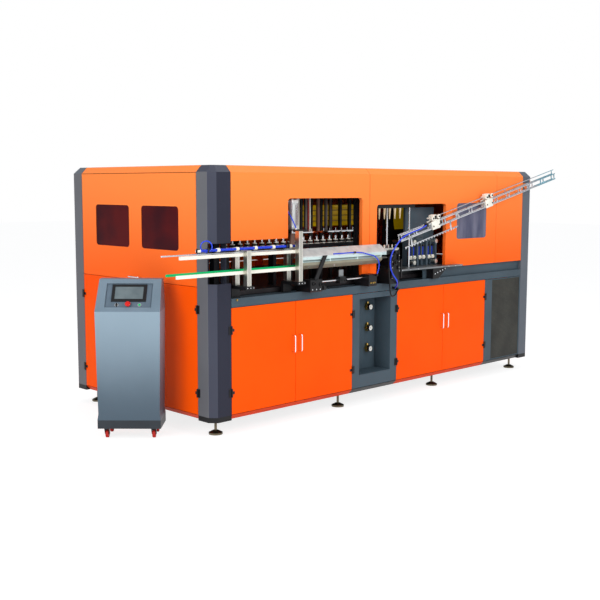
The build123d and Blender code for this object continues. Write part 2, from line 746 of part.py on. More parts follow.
def oven():
    """The oven: black uprights with a beam and end plates, lamps, and curved reflectors."""
    y0 = OVEN_Y
    y1 = OVEN_Y + OVEN_BAR
    bars = [block(OVEN_X0, OVEN_X1, y0, y1 + 40, OVEN_TOP, OVEN_TOP + OVEN_BEAM)]
    count = int((OVEN_X1 - OVEN_X0) / OVEN_BAR_PITCH)
    for index in range(count + 1):
        x = OVEN_X0 + index * (OVEN_X1 - OVEN_X0 - OVEN_BAR) / count
        bars.append(block(x, x + OVEN_BAR, y0, y1, BED_TOP, OVEN_TOP))
    lamp_x0 = OVEN_X0 + OVEN_BAR
    lamp_x1 = OVEN_X1 - OVEN_BAR
    for x in (OVEN_X0, lamp_x1):
        bars.append(block(x, x + OVEN_BAR, y1, REFLECTOR_Y + 40, REFLECTOR_Z0 - 20, OVEN_TOP))
    lamps = []
    for index in range(LAMP_COUNT):
        z = REFLECTOR_Z0 + 44 + index * LAMP_PITCH
        lamps.append(bar((lamp_x0, LAMP_Y, z), (1, 0, 0), lamp_x1 - lamp_x0, LAMP_R))
    middle = (REFLECTOR_Z0 + REFLECTOR_Z1) / 2
    curve = ThreePointArc((0, REFLECTOR_Y, REFLECTOR_Z0), (0, REFLECTOR_Y + REFLECTOR_SAG, middle), (0, REFLECTOR_Y, REFLECTOR_Z1))
    back = ThreePointArc((0, REFLECTOR_Y + 2, REFLECTOR_Z0), (0, REFLECTOR_Y + REFLECTOR_SAG + 2, middle), (0, REFLECTOR_Y + 2, REFLECTOR_Z1))
    face = make_face([curve, Line(curve @ 1, back @ 1), back, Line(curve @ 0, back @ 0)])
    sheet = Pos(lamp_x0, 0, 0) * extrude(face, lamp_x1 - lamp_x0, dir=(1, 0, 0))
    return {
        "oven_rack": Compound(bars),
        "oven_reflector": sheet,
        "heater_lamps": Compound(lamps),
    }


def blow_station():
    """Press base and bracket, moving platen with ribs and mould, rear platen, ties, head and columns."""
    base_low = PRESS_BASE_TOP - PRESS_BASE_T
    base = block(PRESS_BASE_X0, PRESS_X1, -PRESS_OVERHANG, PRESS_WING_BACK, base_low, PRESS_BASE_TOP)
    base += block(PRESS_WING_X1, PRESS_X1, PRESS_WING_BACK, PRESS_BACK, base_low, PRESS_BASE_TOP)
    base += block(PRESS_X1, PRESS_BASE_X1, -PRESS_OVERHANG, -GAP, base_low, PRESS_BASE_TOP)
    for x0, y in ((PRESS_BASE_X0, FRAME_IN + 10), (PRESS_WING_X1, PRESS_BACK - 40)):
        base += block(x0 + 20, PRESS_X1 - 20, y, y + 30, BED_TOP, base_low)
    rear_foot = APRON_Y - RUN
    web = along_y([(2480, base_low), (2690, base_low), (2560, LEDGE_TOP), (2480, LEDGE_TOP)], -46, rear_foot)
    base += web
    plate_y = PLATEN_Y + RIB_D
    platen = block(PRESS_X0, PRESS_X1, plate_y, plate_y + PLATEN_T, PRESS_BASE_TOP + RUN, PLATEN_TOP)
    rib_pitch = (PRESS_X1 - PRESS_X0 - RIB_W) / (RIB_COUNT - 1)
    for index in range(RIB_COUNT):
        x = PRESS_X0 + index * rib_pitch
        profile = [(plate_y, PRESS_BASE_TOP + RUN), (PLATEN_Y, PRESS_BASE_TOP + RUN), (PLATEN_Y, PLATEN_TOP - RIB_D), (plate_y, PLATEN_TOP)]
        platen += along_x(profile, x, x + RIB_W)
    mould_y = plate_y + PLATEN_T
    mould_x0 = PRESS_X0 + MOULD_IN
    mould_x1 = PRESS_X1 - MOULD_IN
    mould_z0 = PRESS_BASE_TOP + MOULD_UP
    mould_z1 = PLATEN_TOP - MOULD_UP / 2
    front_mould = block(mould_x0, mould_x1, mould_y, mould_y + MOULD_T, mould_z0, mould_z1)
    rear_y = mould_y + 2 * MOULD_T + STROKE + RUN
    rear_mould = block(mould_x0, mould_x1, rear_y - MOULD_T, rear_y, mould_z0, mould_z1)
    cavities = 2
    for index in range(cavities):
        x = mould_x0 + (index + 0.5) * (mould_x1 - mould_x0) / cavities
        cavity = turned([(0, 20), (34, 20), (38, 40), (38, 110), (12, 150), (12, 300), (0, 300)])
        front_mould -= Pos(x, mould_y + MOULD_T, mould_z0) * copy_of(cavity)
        rear_mould -= Pos(x, rear_y - MOULD_T, mould_z0) * copy_of(cavity)
    rear = block(PRESS_X0, PRESS_X1, rear_y, rear_y + REAR_PLATEN_T, PRESS_BASE_TOP, REAR_PLATEN_TOP)
    tie_y0 = PLATEN_Y - 24
    for x in (PRESS_X0 + TIE_IN + RIB_W, PRESS_X1 - TIE_IN - RIB_W):
        for z in (PRESS_BASE_TOP + TIE_IN, PLATEN_TOP - TIE_IN):
            tie = bar((x, tie_y0, z), (0, 1, 0), rear_y - tie_y0, TIE_R)
            tie += bar((x, tie_y0, z), (0, -1, 0), 14, TIE_R * 1.5)
            rear += tie
            platen -= bar((x, tie_y0, z), (0, 1, 0), rear_y - tie_y0, TIE_R + TIE_FIT)
    head_top = HEAD_BEAM_Z + HEAD_BEAM_H
    head = block(HEAD_BEAM_X0, HEAD_BEAM_X1, HEAD_BEAM_Y, HEAD_BEAM_Y + HEAD_BEAM_D, HEAD_BEAM_Z, head_top)
    rods = []
    rod_y = HEAD_BEAM_Y + HEAD_BEAM_D / 2
    rod_top = SPACE_2_TOP + 160
    for x in (CONE_X0 + 1.8 * CONE_PITCH, HEAD_BEAM_X1 - 40):
        rods.append(bar((x, rod_y, PRESS_BASE_TOP), (0, 0, 1), rod_top - PRESS_BASE_TOP, COLUMN_ROD_R))
        head -= bar((x, rod_y, PRESS_BASE_TOP), (0, 0, 1), rod_top - PRESS_BASE_TOP, COLUMN_ROD_R + SLIDE_FIT)
    cone = turned([(0, 0), (CONE_R1, 0), (CONE_R1, 8), (CONE_R0, CONE_H - 12), (CONE_R0, CONE_H), (0, CONE_H)])
    for index in range(CONE_COUNT):
        x = CONE_X0 + index * CONE_PITCH
        head += Pos(x, HEAD_BEAM_Y + CONE_R0 + 2, HEAD_BEAM_Z - CONE_H) * copy_of(cone)
    for rod in rods:
        base += rod
    return {
        "press_base": base,
        "moving_platen": platen + front_mould,
        "rear_platen": rear + rear_mould,
        "stretch_head": head,
    }


def chute():
    """The sloping preform chute: two rails, top guide with clamps, notched strip and brackets."""
    low = -CHUTE_H / 2
    high = CHUTE_H / 2
    place = Pos(CHUTE_X0, CHUTE_Y, CHUTE_Z0) * Rot(0, -CHUTE_ANGLE, 0)
    inner = CHUTE_GAP / 2
    outer = inner + CHUTE_BAR
    rails = [
        block(0, CHUTE_LENGTH, -outer, -inner, low, high),
        block(0, CHUTE_LENGTH, inner, outer, low, high),
    ]
    guide = bar((CHUTE_LENGTH * 0.16, 0, high + GUIDE_UP), (1, 0, 0), CHUTE_LENGTH * 0.84, GUIDE_R)
    clamps = []
    for share in (0.17, 0.5):
        x = CHUTE_LENGTH * share
        clamp = block(x, x + CLAMP_L, -outer - CLAMP_T, outer + CLAMP_T, high - CLAMP_H / 2, high + CLAMP_H)
        clamp -= block(x - 1, x + CLAMP_L + 1, -outer, outer, low, high)
        clamp -= bar((x - 1, 0, high + GUIDE_UP), (1, 0, 0), CLAMP_L + 2, GUIDE_R)
        clamps.append(clamp)
    strip_top = low - STRIP_DOWN / 2
    strip_low = strip_top - STRIP_H
    strip = block(40, STRIP_LENGTH, -outer, -outer + 8, strip_low, strip_top)
    for index in range(int((STRIP_LENGTH - 60) / STRIP_PITCH)):
        x = 60 + index * STRIP_PITCH
        strip -= block(x, x + STRIP_PITCH / 2, -outer, -outer + 8, strip_low, strip_low + STRIP_H / 2)
    for x in (120, STRIP_LENGTH - 120):
        strip += block(x, x + 20, -outer - 3, -outer, strip_low, low + 20)
    rails.append(strip)
    made = [place * rail for rail in rails]
    for x in (SPACE_2_X1 + 70, SERVICE_X1 - 160):
        along = (x - CHUTE_X0) / math.cos(math.radians(CHUTE_ANGLE))
        arm = place * block(along, along + 40, outer, outer + 60, low, high)
        made.append(arm & block(0, LENGTH, CHUTE_Y, 0, 0, 2 * HEIGHT))
    made.append(place * guide)
    made += [place * clamp for clamp in clamps]
    return {"preform_chute": Compound(made)}


def bottle_lane():
    """Posts on black feet with guide rails, wear strip, air pipe and trough."""
    posts = []
    low = POST_FOOT_TOP - POST_FOOT_T
    y0 = POST_FRONT_Y - 8
    y1 = POST_REAR_Y + POST + 8
    web = POST_REAR_Y + POST / 2
    foot = [(y0, low), (y0, POST_FOOT_TOP), (y1, POST_FOOT_TOP), (y1, LEDGE_TOP), (web, LEDGE_TOP), (web, low)]
    front_in = POST_FRONT_Y + POST
    for x, top in ((POST_A_X, POST_TOP), (POST_B_X, POST_B_TOP)):
        posts.append(along_x(foot, x - POST / 2, x + 1.5 * POST))
        posts.append(block(x, x + POST, POST_FRONT_Y, front_in, POST_FOOT_TOP, top))
        posts.append(block(x, x + POST, POST_REAR_Y, POST_REAR_Y + POST, POST_FOOT_TOP, POST_TOP))
        tie_y = front_in if top > POST_TOP else POST_FRONT_Y
        posts.append(block(x, x + POST, tie_y, POST_REAR_Y + POST, POST_TOP, POST_TOP + TIE_PLATE))
    rails = []
    half = RAIL_H / 2
    end = POST_B_X + POST
    for z, x0 in ((LOWER_RAIL_Z, LOWER_RAIL_X0), (UPPER_RAIL_Z, UPPER_RAIL_X0)):
        rails.append(block(x0, end, front_in, front_in + RAIL_T, z - half, z + half))
    rod_y = POST_REAR_Y - ROD_RAIL_R
    rails.append(bar((ROD_RAIL_X0, rod_y, ROD_RAIL_Z), (1, 0, 0), end - ROD_RAIL_X0, ROD_RAIL_R))
    strip = block(GREEN_X0, GREEN_X1, POST_REAR_Y - GREEN_T, POST_REAR_Y, GREEN_Z - GREEN_H / 2, GREEN_Z + GREEN_H / 2)
    air = bar((AIR_X0, AIR_Y, AIR_Z), (1, 0, 0), end - AIR_X0, AIR_R)
    for index in range(AIR_NOZZLES):
        x = AIR_X0 + index * (POST_B_X - NOZZLE_L - GAP - AIR_X0) / (AIR_NOZZLES - 1)
        air += bar((x, AIR_Y, AIR_Z), (1, 0, 0), NOZZLE_L, NOZZLE_R)
    return {
        "rail_posts": Compound(posts),
        "guide_rails": Compound(rails),
        "wear_strip": strip,
        "air_pipe": air,
        "trough": trough(),
    }


def trough():
    """The folded aluminium trough: a sloping top, a lip and a raked underside, open at the rear."""
    top = TROUGH_TOP
    lip = TROUGH_LIP_TOP - TROUGH_LIP
    under_y = (TROUGH_FRONT_Y + TROUGH_REAR_Y) / 2
    t = TROUGH_T
    outside = [(TROUGH_REAR_Y, top), (TROUGH_FRONT_Y, TROUGH_LIP_TOP), (TROUGH_FRONT_Y, lip)]
    outside += [(under_y, TROUGH_LOW + t), (TROUGH_REAR_Y, TROUGH_LOW)]
    inside = [(TROUGH_REAR_Y, TROUGH_LOW + t), (under_y, TROUGH_LOW + 2 * t), (TROUGH_FRONT_Y + t, lip + t)]
    inside += [(TROUGH_FRONT_Y + t, TROUGH_LIP_TOP - t), (TROUGH_REAR_Y, top - t)]
    return along_x(outside + inside, TROUGH_X0, TROUGH_X1)


def transfer():
    """The slide rod between its two blocks, the carriage on it, the end unit and the trough's strut."""
    x0 = SLIDE_BLOCK_X0
    x1 = x0 + SLIDE_BLOCK_L
    x2 = x1 + SLIDE_ROD_L
    top = SLIDE_ROD_Z + SLIDE_BLOCK_UP
    rod = bar((x1, SLIDE_ROD_Y, SLIDE_ROD_Z), (1, 0, 0), SLIDE_ROD_L, SLIDE_ROD_R)
    mounts = [rod]
    for left, right in ((x0, x1), (x2, x2 + SLIDE_BLOCK_L * 0.75)):
        body = block(left, right, SLIDE_BLOCK_Y0, -GAP, LEDGE_TOP, top)
        body = chamfer(body.edges().filter_by(Axis.X), 6)
        mounts.append(body + block(left, right, -2 * GAP, SLIDE_BLOCK_Y1, LEDGE_TOP, UPPER_BOTTOM - GAP))
    steps = [(0, 0), (0, 118), (34, 150), (34, 250), (88, 250), (88, 190), (114, 160), (114, 0)]
    tall = END_UNIT_TOP - LEDGE_TOP
    wide = END_UNIT_X1 - END_UNIT_X0
    unit = [(END_UNIT_X0 + x * wide / 114, LEDGE_TOP + z * tall / 250) for x, z in steps]
    mounts.append(along_y(unit, SLIDE_BLOCK_Y0, SLIDE_BLOCK_Y1))
    lean = TROUGH_LIP_TOP - top
    strut = along_y(
        [(x0 + 40, top), (x0 + 80, top), (x0 + lean, TROUGH_LIP_TOP), (x0 + lean - 40, TROUGH_LIP_TOP)],
        TROUGH_FRONT_Y - 10,
        TROUGH_FRONT_Y,
    )
    mounts.append(strut)
    low = SLIDE_ROD_Y - 24
    high = SLIDE_ROD_Y + 24
    end = CARRIAGE_X + CARRIAGE_L
    carriage = block(CARRIAGE_X, end, low, high, SLIDE_ROD_Z - SLIDE_BLOCK_UP, top)
    carriage += block(CARRIAGE_X + 10, end - 10, SLIDE_ROD_Y - 4, SLIDE_ROD_Y + 8, top, top + 54)
    carriage -= bar((CARRIAGE_X, SLIDE_ROD_Y, SLIDE_ROD_Z), (1, 0, 0), CARRIAGE_L, SLIDE_ROD_R + SLIDE_FIT)
    return {
        "slide_unit": Compound(mounts),
        "carriage": carriage,
    }


def stop_cylinder():
    """The upright air cylinder on post B with its bracket, and the stop plate on its rod."""
    bracket_top = POST_B_TOP + TIE_PLATE
    cap = 26
    side = CYLINDER_R + 3
    barrel = bar((CYLINDER_X, CYLINDER_Y, bracket_top + cap), (0, 0, 1), CYLINDER_H - 2 * cap, CYLINDER_R)
    for z in (bracket_top, bracket_top + CYLINDER_H - cap):
        barrel += block(CYLINDER_X - side, CYLINDER_X + side, CYLINDER_Y - side, CYLINDER_Y + side, z, z + cap)
    barrel += block(POST_B_X, CYLINDER_X + side, POST_FRONT_Y, CYLINDER_Y + side, POST_B_TOP, bracket_top)
    reach = STOP_TRAVEL + 3 * cap
    barrel -= bar((CYLINDER_X, CYLINDER_Y, POST_B_TOP), (0, 0, 1), reach + 2 * cap, CYLINDER_ROD_R + SLIDE_FIT)
    plate_top = POST_B_TOP - 24
    stop = block(CYLINDER_X - 22, CYLINDER_X + 22, CYLINDER_Y - 8, CYLINDER_Y + 8, POST_TOP - 90, plate_top)
    stop += bar((CYLINDER_X, CYLINDER_Y, plate_top), (0, 0, 1), bracket_top - plate_top + reach, CYLINDER_ROD_R)
    return {"stop_cylinder": barrel, "stop_plate": stop}


def desk_plane():
    """The plane of the console's sloped desk, centred on it, x to the right and z out of it."""
    rise = CONSOLE_TOP - DESK_Z
    centre = (0, DESK_BACK / 2, DESK_Z + rise / 2)
    return Plane(origin=centre, x_dir=(1, 0, 0), z_dir=(0, -rise, DESK_BACK))


def console_place():
    """Where the console stands, turned to face forward and left of the machine."""
    return Pos(CONSOLE_X, CONSOLE_Y, 0) * Rot(0, 0, CONSOLE_TURN)


def caster_spots():
    """The four caster stems, from front left round to rear right."""
    rear = CONSOLE_D - CASTER_Y
    return ((-CASTER_X, CASTER_Y), (CASTER_X, CASTER_Y), (-CASTER_X, rear), (CASTER_X, rear))


def button_spots():
    """The selector, mushroom stop and green button, along the low edge of the desk panel."""
    return ((-BUTTON_PITCH, -BUTTON_ROW), (0, -BUTTON_ROW), (BUTTON_PITCH, -BUTTON_ROW))


def console():
    """The console's folded shell, its sunk panel, screen, buttons and casters."""
    half = CONSOLE_W / 2
    waist = CONSOLE_WAIST / 2
    base = CONSOLE_BASE_W / 2
    side = [(0, CONSOLE_BOTTOM), (0, DESK_Z), (DESK_BACK, CONSOLE_TOP), (CONSOLE_D, CONSOLE_TOP), (CONSOLE_D, CONSOLE_BOTTOM)]
    front = [(-base, CONSOLE_BOTTOM), (-base, PLINTH_TOP - 40), (-waist, PLINTH_TOP), (-half, DESK_Z), (-half + 8, CONSOLE_TOP)]
    front += [(-x, z) for x, z in reversed(front)]
    shell = along_x(side, -half, half) & along_y(front, 0, CONSOLE_D)
    desk = desk_plane()
    shell -= desk * Box(PANEL_W, PANEL_H, 2 * PANEL_DEPTH)
    for x, y in caster_spots():
        shell -= bar((x, y, CONSOLE_BOTTOM - 1), (0, 0, 1), KING_UP + 2, KING_R + PIN_FIT)
    plate = desk * Pos(0, 0, PANEL_T / 2 - PANEL_DEPTH) * Box(PANEL_W - 12, PANEL_H - 12, PANEL_T)
    face = PANEL_T - PANEL_DEPTH
    screen_y = (PANEL_H - SCREEN_H) / 2 - 8
    screen = chamfer(Box(SCREEN_W, SCREEN_H, SCREEN_T).faces().sort_by(Axis.Z)[-1].edges(), 3)
    screen -= Pos(0, 0, SCREEN_T / 2) * Box(SCREEN_W - 46, SCREEN_H - 40, 3)
    screen = desk * Pos(0, screen_y, face + SCREEN_T / 2) * screen
    bezel = turned([(9, 0), (15, 0), (14, 5), (9, 5)])
    spots = button_spots()
    for x, y in spots:
        plate += desk * Pos(x, y, face) * copy_of(bezel)
    knob = turned([(0, RUN), (8.5, RUN), (8.5, 6), (0, 6)]) + Pos(0, 0, 11) * Box(7, 24, 10)
    stop = turned([(0, RUN + 3), (8.5, RUN + 3), (8.5, 14), (20, 16), (20, 24), (14, 30), (0, 31)])
    green = turned([(0, RUN + 3), (8.5, RUN + 3), (8.5, 9), (0, 9)])
    place = console_place()
    knob, stop, green = [
        desk * Pos(x, y, face) * piece for piece, (x, y) in zip((knob, stop, green), spots)
    ]
    made = {
        "console_shell": place * shell,
        "console_panel": place * plate,
        "console_screen": place * screen,
        "selector_knob": place * knob,
        "stop_button": place * stop,
        "green_button": place * green,
    }
    fixed = []
    for index, (x, y) in enumerate(caster_spots(), 1):
        fork, wheel = caster()
        spot = place * Pos(x, y, 0)
        made[f"caster_wheel_{index}"] = spot * wheel
        if index > 2:
            fixed.append(spot * fork)
        else:
            made[f"caster_fork_{index}"] = spot * fork
    made["rear_caster_forks"] = Compound(fixed)
    return made


def caster():
    """A swivel fork with its king pin, axle and brake tab, and its wheel, about the king pin's axis."""
    top = CONSOLE_BOTTOM - RUN
    side = [
        (-18, top - FORK_PLATE),
        (18, top - FORK_PLATE),
        (CASTER_TRAIL + AXLE_R * 2, WHEEL_R - AXLE_R),
        (CASTER_TRAIL - AXLE_R * 2, WHEEL_R - AXLE_R),
    ]
    legs = []
    inside = FORK_W / 2 - 3
    for x in (-FORK_W / 2, inside):
        face = make_face(Polyline(*[(x, y, z) for y, z in side], close=True))
        legs.append(extrude(face, 3, dir=(1, 0, 0)))
    fork = block(-FORK_W / 2, FORK_W / 2, -20, 20, top - FORK_PLATE, top) + legs
    fork += bar((0, 0, top), (0, 0, 1), KING_UP, KING_R)
    fork += bar((-FORK_W / 2, CASTER_TRAIL, WHEEL_R), (1, 0, 0), FORK_W, AXLE_R)
    fork += block(-8, 8, -38, -20, top - FORK_PLATE - 6, top - 2)
    half = WHEEL_W / 2
    wheel = bar((-half, CASTER_TRAIL, WHEEL_R), (1, 0, 0), WHEEL_W, WHEEL_R)
    wheel = chamfer(wheel.edges().filter_by(GeomType.CIRCLE), 3)
    wheel -= bar((-half, CASTER_TRAIL, WHEEL_R), (1, 0, 0), WHEEL_W, AXLE_R + PIN_FIT)
    return fork, wheel


def model():
    """Every node of the machine by name, from the near foot's centre on the floor."""
    outer = envelope(0)
    inner = envelope(SHEET)
    made = {}
    made.update(corner_columns(outer, inner))
    made.update(front_covers(outer, inner))
    made.update(closed_sides(outer, inner))
    for build in (
        skirt,
        frames,
        feet,
        bed,
        left_end_doors,
        alcove,
        service_bay,
        preform_track,
        oven,
        blow_station,
        chute,
        bottle_lane,
        transfer,
        stop_cylinder,
        console,
    ):
        made.update(build())
    origin = Pos(-FOOT_IN, -FOOT_IN, 0)
    return {name: origin * shape for name, shape in made.items()}


def main():
    """Writes one STEP file per node."""
    os.makedirs("parts", exist_ok=True)
    for name, shape in model().items():
        export_step(shape, f"parts/{name}.step")


if __name__ == "__main__":
    main()
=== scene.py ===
"""A stretch blow moulding machine: finishes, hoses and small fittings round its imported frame."""

from __future__ import annotations

import logging
import math
from collections.abc import Callable, Sequence
from dataclasses import dataclass
from enum import Enum

import bmesh
import bpy
from mathutils import Matrix, Vector


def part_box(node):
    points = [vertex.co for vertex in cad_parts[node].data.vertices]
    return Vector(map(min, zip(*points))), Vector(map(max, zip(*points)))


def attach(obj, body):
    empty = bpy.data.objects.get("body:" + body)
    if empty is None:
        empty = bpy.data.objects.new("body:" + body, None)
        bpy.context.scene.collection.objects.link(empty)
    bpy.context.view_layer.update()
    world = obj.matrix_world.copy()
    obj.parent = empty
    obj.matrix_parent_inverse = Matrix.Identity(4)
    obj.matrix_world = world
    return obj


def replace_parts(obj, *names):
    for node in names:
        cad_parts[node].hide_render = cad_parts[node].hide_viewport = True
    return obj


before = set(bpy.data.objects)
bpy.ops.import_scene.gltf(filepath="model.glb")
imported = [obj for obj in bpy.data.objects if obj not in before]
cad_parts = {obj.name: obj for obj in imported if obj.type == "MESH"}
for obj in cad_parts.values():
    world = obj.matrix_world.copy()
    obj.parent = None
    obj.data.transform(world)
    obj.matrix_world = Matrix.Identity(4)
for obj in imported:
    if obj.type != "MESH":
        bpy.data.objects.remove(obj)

LOG = logging.getLogger("blow_moulding_machine")
Colour = tuple[float, float, float]
Point = tuple[float, float, float]
Span = tuple[float, float]
Outline = Sequence[tuple[float, float]]

# Millimetres in a metre, and how far in the row frame starts from the cabinet's near left corner.
METRE = 1000.0
FOOT_IN = 135.0

# How far in front of its face a screw is placed; its head reaches back to the face.
SEAT = 0.2
FRONT = (0, -1, 0)
UP = (0, 0, 1)
WHITE = (1.0, 1.0, 1.0, 1.0)


def linear(colour: Colour) -> Colour:
    """Turns a colour of 0 to 255 as a screen shows it into the shader's linear values."""
    shares = [part / 255 for part in colour]
    return tuple(s / 12.92 if s < 0.04045 else ((s + 0.055) / 1.055) ** 2.4 for s in shares)


def at(x: float, y: float, z: float) -> Vector:
    """Turns millimetres from the cabinet's near left corner into the row frame's metres."""
    return Vector((x - FOOT_IN, y - FOOT_IN, z)) / METRE


def around(middle: float, half: float) -> Span:
    """Returns the span that reaches as far to each side of a middle."""
    return (middle - half, middle + half)


class Slot(Enum):
    """The record's material slots, which each new piece is handed."""

    GREY = "grey_plastic"
    BRASS = "brass_fittings"
    STEEL = "bright_steel"
    BLACK = "black_paint"
    PLASTIC = "black_plastic"
    WHITE = "white_plastic"
    GOLD = "gold_reflector"
    SLATE = "slate_paint"
    ALUMINIUM = "aluminium"


# Shader graph


class Value:
    """A number that a shader works out, on which ordinary arithmetic adds Math nodes."""

    def __init__(self, nodes: Nodes, socket: bpy.types.NodeSocket) -> None:
        """Wraps one output socket of a tree's nodes."""
        self.nodes = nodes
        self.socket = socket

    def maths(self, operation: str, *values: Value | float) -> Value:
        """Adds a Math node of an operation, with its inputs in order."""
        return self.nodes.value("ShaderNodeMath", {"operation": operation}, dict(enumerate(values)))

    def __add__(self, other: Value | float) -> Value:
        """Returns the sum."""
        return self.maths("ADD", self, other)

    __radd__ = __add__

    def __sub__(self, other: Value | float) -> Value:
        """Returns the difference."""
        return self.maths("SUBTRACT", self, other)

    def __rsub__(self, other: float) -> Value:
        """Returns the difference from a number."""
        return self.maths("SUBTRACT", other, self)

    def __mul__(self, other: Value | float) -> Value:
        """Returns the product."""
        return self.maths("MULTIPLY", self, other)

    __rmul__ = __mul__

    def __lt__(self, other: Value | float) -> Value:
        """Returns 1 where this is less."""
        return self.maths("LESS_THAN", self, other)

    def __gt__(self, other: Value | float) -> Value:
        """Returns 1 where this is greater."""
        return self.maths("GREATER_THAN", self, other)

    def wrapped(self, period: float) -> Value:
        """Returns the distance to the nearest multiple of a period."""
        return self.maths("PINGPONG", self, period / 2)

    def clear(self) -> Value:
        """Returns the value held between 0 and 1."""
        return self.maths("MINIMUM", self.maths("MAXIMUM", self, 0.0), 1.0)

    def ramp(self, low: float, high: float) -> Value:
        """Returns a smooth rise from 0 at low to 1 at high."""
        settings = {"interpolation_type": "SMOOTHSTEP"}
        return self.nodes.value("ShaderNodeMapRange", settings, {0: self, 1: low, 2: high})


class Nodes:
    """A material's or a world's nodes, all made by one method."""

    def __init__(self, tree: bpy.types.NodeTree) -> None:
        """Empties a node tree and keeps it."""
        self.tree = tree
        self.tree.nodes.clear()

    def node(
        self,
        kind: str,
        settings: dict[str, object] | None = None,
        sockets: dict[int | str, object] | None = None,
    ) -> bpy.types.Node:
        """Adds a node, sets it, then gives its sockets their values or links.

        Args:
            kind: the node's type.
            settings: the node's own properties.
            sockets: input name or number to a number, colour, socket or Value.

        Returns:
            The node.
        """
        made = self.tree.nodes.new(kind)
        for key, setting in (settings or {}).items():
            setattr(made, key, setting)
        for key, given in (sockets or {}).items():
            given = given.socket if isinstance(given, Value) else given
            if isinstance(given, bpy.types.NodeSocket):
                self.tree.links.new(given, made.inputs[key])
            else:
                made.inputs[key].default_value = given
        return made

    def value(
        self,
        kind: str,
        settings: dict[str, object],
        sockets: dict[int | str, object],
    ) -> Value:
        """Adds a node as node() does and returns its first output as a Value."""
        return Value(self, self.node(kind, settings, sockets).outputs[0])

    def blend(self, share: object, first: object, second: object) -> bpy.types.NodeSocket:
        """Returns the first shader, covered by the second where a share is 1."""
        sockets = {0: share, 1: first, 2: second}
        return self.node("ShaderNodeMixShader", sockets=sockets).outputs[0]


class Graph(Nodes):
    """One material's nodes, read through Object coordinates."""

    def __init__(self, name: str) -> None:
        """Starts an empty material.

        Args:
            name: the material's name.
        """
        self.material = bpy.data.materials.new(name)
        self.material.use_nodes = True
        super().__init__(self.material.node_tree)
        self.point = self.node("ShaderNodeTexCoord").outputs["Object"]
        split = self.node("ShaderNodeSeparateXYZ", sockets={0: self.point})
        self.x, self.y, self.z = (Value(self, socket) for socket in split.outputs)

    def stretched(self, scale: Point) -> bpy.types.NodeSocket:
        """Returns the Object coordinates multiplied by three factors."""
        sockets = {0: self.point, 1: tuple(scale)}
        return self.node("ShaderNodeVectorMath", {"operation": "MULTIPLY"}, sockets).outputs[0]

    def noise(self, scale: float, detail: float = 2.0, stretch: Point = (1, 1, 1)) -> Value:
        """Returns soft noise of a scale per metre, stretched along the axes."""
        sockets = {"Vector": self.stretched(stretch), "Scale": scale, "Detail": detail}
        return self.value("ShaderNodeTexNoise", {}, sockets)

    def mix(self, share: Value, first: object, second: object) -> bpy.types.NodeSocket:
        """Returns a blend of two colours.

        Args:
            share: how much of the second shows.
            first: a colour or a colour socket.
            second: another.

        Returns:
            The colour's output.
        """
        first, second = ((*c, 1.0) if isinstance(c, tuple) else c for c in (first, second))
        sockets = {"Factor": share, 6: first, 7: second}
        return self.node("ShaderNodeMix", {"data_type": "RGBA"}, sockets).outputs[2]

    def bump(self, height: Value, depth: float) -> bpy.types.NodeSocket:
        """Returns a normal from a height of 0 to 1 and its depth in metres."""
        return self.node("ShaderNodeBump", {}, {"Height": height, "Distance": depth}).outputs[0]

    def finish(self, shader: bpy.types.NodeSocket) -> bpy.types.Material:
        """Joins a shader to the output and returns the material."""
        self.node("ShaderNodeOutputMaterial", sockets={"Surface": shader})
        return self.material


# Finishes

# Where the noise of mottles starts and ends its rise, and how much finer the roughness varies.
MOTTLE_EDGE = (0.35, 0.75)
ROUGH_FINER = 9
LACQUER_ROUGHNESS = 0.12

# A clear sheet's scuffs per metre, where their noise rises, how much they clear, and its index.
SCUFF_SCALE = 7.0
SCUFF_EDGE = (0.5, 0.9)
SCUFF_DEPTH = 0.06
ACRYLIC_INDEX = 1.49


@dataclass(frozen=True)
class Finish:
    """A surface of one kind, with its tone, its gloss and its fine relief.

    Attributes:
        colour: the plain colour, as a screen shows it.
        shade: the colour of its darker mottles.
        mottle: how much of the darker colour shows.
        mottle_scale: mottles per metre.
        roughness: the mean roughness.
        spread: how far the roughness varies.
        metallic: 1 for bare metal.
        grain: fine relief in metres.
        grain_scale: grains per metre.
        stretch: how the grain is drawn out along X, Y and Z.
        coat: clear lacquer.
        gloss: the strength of the reflection on paint or plastic.
    """

    colour: Colour
    shade: Colour
    mottle: float = 0.5
    mottle_scale: float = 4.0
    roughness: float = 0.4
    spread: float = 0.1
    metallic: float = 0.0
    grain: float = 0.0
    grain_scale: float = 400.0
    stretch: Point = (1.0, 1.0, 1.0)
    coat: float = 0.0
    gloss: float = 0.3

    def tone(self, graph: Graph) -> bpy.types.NodeSocket:
        """Returns the mottled colour."""
        mottles = graph.noise(self.mottle_scale, 4.0, self.stretch).ramp(*MOTTLE_EDGE)
        return graph.mix(mottles * self.mottle, linear(self.colour), linear(self.shade))

    def extra(self, graph: Graph) -> dict[str, object]:
        """Returns further sockets of the shader that a kind of finish sets."""
        return {}

    def shader(self, graph: Graph) -> bpy.types.NodeSocket:
        """Adds this finish to a graph.

        Args:
            graph: the material's graph.

        Returns:
            The shader's output.
        """
        rough = graph.noise(self.mottle_scale * ROUGH_FINER, 3.0, self.stretch)
        rough = (self.roughness - self.spread / 2) + rough * self.spread
        sockets = {"Base Color": self.tone(graph), "Roughness": rough, "Metallic": self.metallic}
        sockets["Specular IOR Level"] = self.gloss
        if self.coat:
            sockets.update({"Coat Weight": self.coat, "Coat Roughness": LACQUER_ROUGHNESS})
        if self.grain:
            height = graph.noise(self.grain_scale, 2.0, self.stretch)
            sockets["Normal"] = graph.bump(height, self.grain)
        sockets.update(self.extra(graph))
        return graph.node("ShaderNodeBsdfPrincipled", sockets=sockets).outputs[0]


